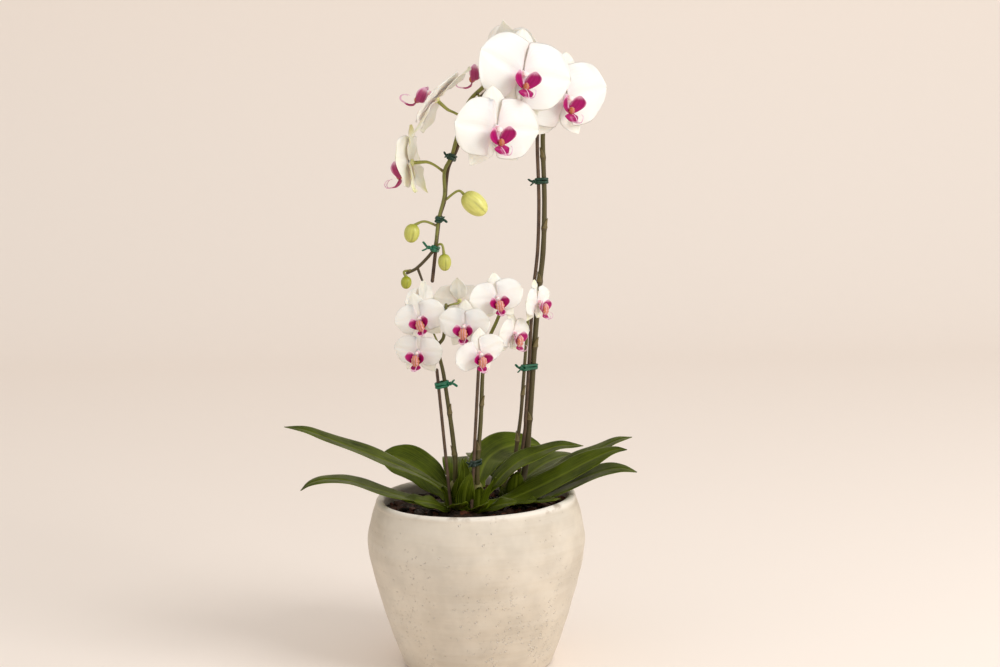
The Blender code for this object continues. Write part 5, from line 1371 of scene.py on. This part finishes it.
class LipSettings(bpy.types.PropertyGroup):
    """Colours of the lips."""

    magenta: colour("Magenta", "Inside of the lobes", 178, 3, 106)
    wine: colour("Wine", "Veins and flecks", 98, 4, 46)
    rose: colour("Rose", "Veins in the pale parts", 214, 96, 160)
    pale: colour("Pale", "Outer faces and tips", 240, 206, 222)
    orange: colour("Orange", "Callus", 200, 122, 70)


class StudioSettings(bpy.types.PropertyGroup):
    """Backdrop, lights and camera."""

    backdrop: colour("Backdrop", "Colour of the paper sweep", 248, 237, 227)
    key_power: power("Key", "Power of the key light", 54.0)
    fill_power: power("Fill", "Power of the fill light", 3.0)
    sky: FloatProperty(name="Sky", description="Strength of the even light all round", default=0.71, min=0)


# ---------------------------------------------------------------- operators


class PieceOperator(bpy.types.Operator):
    """Makes pieces of the orchid."""

    bl_options = {"REGISTER", "UNDO"}


class ORCHID_OT_pot(PieceOperator):
    """Makes the stoneware pot"""

    bl_idname = "orchid.pot"
    bl_label = "Pot"

    def execute(self, context):
        settings = context.scene.orchid_pot
        add_piece("pot_thrown", pot_shape(settings), stoneware_finish(settings), ["pot"])
        return {"FINISHED"}


class ORCHID_OT_mix(PieceOperator):
    """Makes the potting mix and its loose chips of bark"""

    bl_idname = "orchid.mix"
    bl_label = "Potting mix"

    def execute(self, context):
        settings = context.scene.orchid_mix
        finish = bark_finish(settings)
        add_piece("mix_bed", mix_bed(), finish, ["potting_mix"])
        add_piece("mix_chips", bark_chips(settings), finish, ["potting_mix"], sharp=42)
        return {"FINISHED"}


class ORCHID_OT_spikes(PieceOperator):
    """Makes the crowns, the spikes with their nodes and stalks, and the buds"""

    bl_idname = "orchid.spikes"
    bl_label = "Flower spikes"

    def execute(self, context):
        settings = context.scene.orchid_stems
        finish = stem_finish(settings)
        for name, (_, _, freshness, nodes) in SPIKES.items():
            path = spike_path(name)
            radii, swelling = spike_radii(name, path)
            share = lengths(path) / lengths(path)[-1]
            fresh = np.interp(share, *zip(*freshness)) - 0.12 * swelling
            parts = [rod(path, radii, 16, fields(fresh.clip(0, 1), 0.3 * swelling, share)), crown_shape(name)]
            for number, place in enumerate(nodes):
                facing = (1 if number % 2 else -1, -0.45, 0.0)
                parts.append(bract(path, radii, nearest(path, place), 0.011, facing, 2.0))
            for bloom, row in BLOOMS.items():
                if row[1] == name:
                    parts += stalk_shapes(bloom, path)
            if name == "tall":
                buds, stalks = bud_shapes(path)
                spur = curve_through(SPUR, 0.001)
                parts += stalks + [rod(spur, np.linspace(0.0015, 0.0012, len(spur)), 10, (0.06, 0.0, 0.0))]
                add_piece("buds", joined(buds), bud_finish(settings), ["spike_tall"])
            add_piece("stem_" + name, joined(parts), finish, ["spike_" + name])
        return {"FINISHED"}


class ORCHID_OT_supports(PieceOperator):
    """Makes the support wire, the two stakes and the twist ties"""

    bl_idname = "orchid.supports"
    bl_label = "Wire, stakes and ties"

    def execute(self, context):
        settings = context.scene.orchid_supports
        finish = wire_finish(settings)
        paths = {name: spike_path(name) for name in SPIKES}
        stems = {name: (path, spike_radii(name, path)[0]) for name, path in paths.items()}
        rods = [("wire", "wire_bent", "support_wire", wire_path(), settings.wire_radius)]
        rods += [(name, name + "_rod", name, stake_path(name), settings.stake_radius) for name in STAKES]
        for name, piece, node, path, radius in rods:
            stems[name] = (path, np.full(len(path), radius))
            add_piece(piece, rod(path, radius, 12), finish, [node], sharp=60)
        green = tie_finish(settings)
        for name in TIES:
            add_piece(name + "_twisted", tie_shape(name, stems, settings), green, [name])
        return {"FINISHED"}


class ORCHID_OT_leaves(PieceOperator):
    """Makes the twelve leaves, the small low ones and the old sheaths"""

    bl_idname = "orchid.leaves"
    bl_label = "Leaves"

    def execute(self, context):
        settings = context.scene.orchid_leaves
        finish = leaf_finish(settings)
        for seed, (name, row) in enumerate(LEAVES.items()):
            add_piece(name + "_blade", leaf_shape(row, seed, settings), finish, [name])
        low = [leaf_shape(row, seed, settings) for seed, row in enumerate(SMALL_LEAVES.values(), len(LEAVES))]
        add_piece("leaves_small", joined(low), finish, [])
        add_piece("leaf_sheaths", joined([leaf_base(*row) for row in LEAF_SHEATHS]), finish, [])
        return {"FINISHED"}


class ORCHID_OT_blooms(PieceOperator):
    """Makes the tepals and columns of the sixteen blooms"""

    bl_idname = "orchid.blooms"
    bl_label = "Blooms"

    def execute(self, context):
        settings = context.scene.orchid_blooms
        finish = petal_finish(settings)
        for name in BLOOMS:
            add_piece(name + "_tepals", bloom_shape(name, settings), finish, [name])
        return {"FINISHED"}


class ORCHID_OT_lips(PieceOperator):
    """Makes the lips of the sixteen blooms"""

    bl_idname = "orchid.lips"
    bl_label = "Lips"

    def execute(self, context):
        finish = lip_finish(context.scene.orchid_lips)
        for name in BLOOMS:
            node = name.replace("bloom", "lip")
            add_piece(node + "_lobes", lip_shape(name), finish, [node])
        return {"FINISHED"}


class ORCHID_OT_studio(PieceOperator):
    """Makes the paper sweep, the lights and the camera"""

    bl_idname = "orchid.studio"
    bl_label = "Studio"

    def execute(self, context):
        settings = context.scene.orchid_studio
        scene = context.scene
        scene.view_settings.view_transform = "Standard"
        add_sweep(settings)
        add_area_light("key", (2.2, -1.5, 1.9), 1.5, settings.key_power)
        add_area_light("fill", (-2.2, -1.6, 1.6), 2.2, settings.fill_power)
        world = bpy.data.worlds.new("studio_air")
        world.use_nodes = True
        air = world.node_tree.nodes["Background"]
        air.inputs["Color"].default_value = (1.0, 0.985, 0.965, 1.0)
        air.inputs["Strength"].default_value = settings.sky
        scene.world = world
        add_camera(scene)
        return {"FINISHED"}


def add_sweep(settings):
    """Floor and wall of paper: flat as far as the bend behind the pot, then a quarter circle, then
    upright."""
    bend = np.linspace(0, math.pi / 2, 24)
    curve = fields(SWEEP_BEND + SWEEP_RADIUS * np.sin(bend), SWEEP_RADIUS * (1 - np.cos(bend)))
    profile = np.vstack([(SWEEP_FRONT, 0.0), curve, (SWEEP_BEND + SWEEP_RADIUS, SWEEP_TOP)])
    points = fields(np.array((-SWEEP_SIDE, SWEEP_SIDE)), profile[:, :1], profile[:, 1:])
    mesh = bpy.data.meshes.new("paper_sweep")
    mesh.from_pydata(points.reshape(-1, 3).tolist(), [], grid_quads(len(profile), 2).tolist())
    mesh.shade_smooth()
    f = Finish("paper_plain", Specular_IOR_Level=0.2)
    fibre = f.noise(f.place(), 900, 2)
    mesh.materials.append(f.done(settings.backdrop, 0.9, (fibre, 0.05, 0.0002)))
    sweep = bpy.data.objects.new("paper_sweep", mesh)
    bpy.context.scene.collection.objects.link(sweep)


def add_area_light(name, place, size, power):
    """A square soft light that looks at the middle of the orchid."""
    light = bpy.data.lights.new(name, "AREA")
    light.size = size
    light.energy = power
    lamp = bpy.data.objects.new(name, light)
    towards = Vector((0.0, 0.0, 0.35)) - Vector(place)
    lamp.matrix_world = Matrix.Translation(place) @ towards.to_track_quat("-Z", "Y").to_matrix().to_4x4()
    bpy.context.scene.collection.objects.link(lamp)


def add_camera(scene):
    """The photograph's camera: in front, a little above level, with a slight roll."""
    camera = bpy.data.cameras.new("camera")
    camera.lens = CAMERA_LENS
    camera.sensor_width = 36
    seat = bpy.data.objects.new("camera", camera)
    lift = math.radians(CAMERA_ANGLE)
    back = Vector((0.0, -math.cos(lift), math.sin(lift)))
    right = Vector((1.0, 0.0, 0.0))
    turn = Matrix((right, right.cross(-back), back)).transposed() @ Matrix.Rotation(-CAMERA_ROLL, 3, "Z")
    seat.matrix_world = Matrix.Translation(Vector(CAMERA_AIM) + CAMERA_DISTANCE * back) @ turn.to_4x4()
    scene.collection.objects.link(seat)
    scene.camera = seat


SETTINGS = {
    "orchid_pot": PotSettings,
    "orchid_mix": MixSettings,
    "orchid_stems": StemSettings,
    "orchid_supports": SupportSettings,
    "orchid_leaves": LeafSettings,
    "orchid_blooms": BloomSettings,
    "orchid_lips": LipSettings,
    "orchid_studio": StudioSettings,
}
# Each operator with the settings shown beside it
STEPS = (
    (ORCHID_OT_pot, "orchid_pot"),
    (ORCHID_OT_mix, "orchid_mix"),
    (ORCHID_OT_spikes, "orchid_stems"),
    (ORCHID_OT_supports, "orchid_supports"),
    (ORCHID_OT_leaves, "orchid_leaves"),
    (ORCHID_OT_blooms, "orchid_blooms"),
    (ORCHID_OT_lips, "orchid_lips"),
    (ORCHID_OT_studio, "orchid_studio"),
)


class ORCHID_PT_panel(bpy.types.Panel):
    """Lists the steps that build the orchid, each with its settings"""

    bl_idname = "ORCHID_PT_panel"
    bl_label = "Potted Orchid"
    bl_space_type = "VIEW_3D"
    bl_region_type = "UI"
    bl_category = "Orchid"

    def draw(self, context):
        for step, settings in STEPS:
            box = self.layout.box()
            box.operator(step.bl_idname)
            group = getattr(context.scene, settings)
            for name in SETTINGS[settings].__annotations__:
                box.prop(group, name)


CLASSES = (*SETTINGS.values(), *(step for step, _ in STEPS), ORCHID_PT_panel)


def register():
    for cls in CLASSES:
        bpy.utils.register_class(cls)
    for name, group in SETTINGS.items():
        setattr(bpy.types.Scene, name, PointerProperty(type=group))


def unregister():
    for name in SETTINGS:
        delattr(bpy.types.Scene, name)
    for cls in reversed(CLASSES):
        bpy.utils.unregister_class(cls)


def main():
    register()
    bpy.ops.orchid.pot()
    bpy.ops.orchid.mix()
    bpy.ops.orchid.spikes()
    bpy.ops.orchid.supports()
    bpy.ops.orchid.leaves()
    bpy.ops.orchid.blooms()
    bpy.ops.orchid.lips()
    bpy.ops.orchid.studio()
    bpy.context.view_layer.update()


if __name__ == "__main__":
    main()
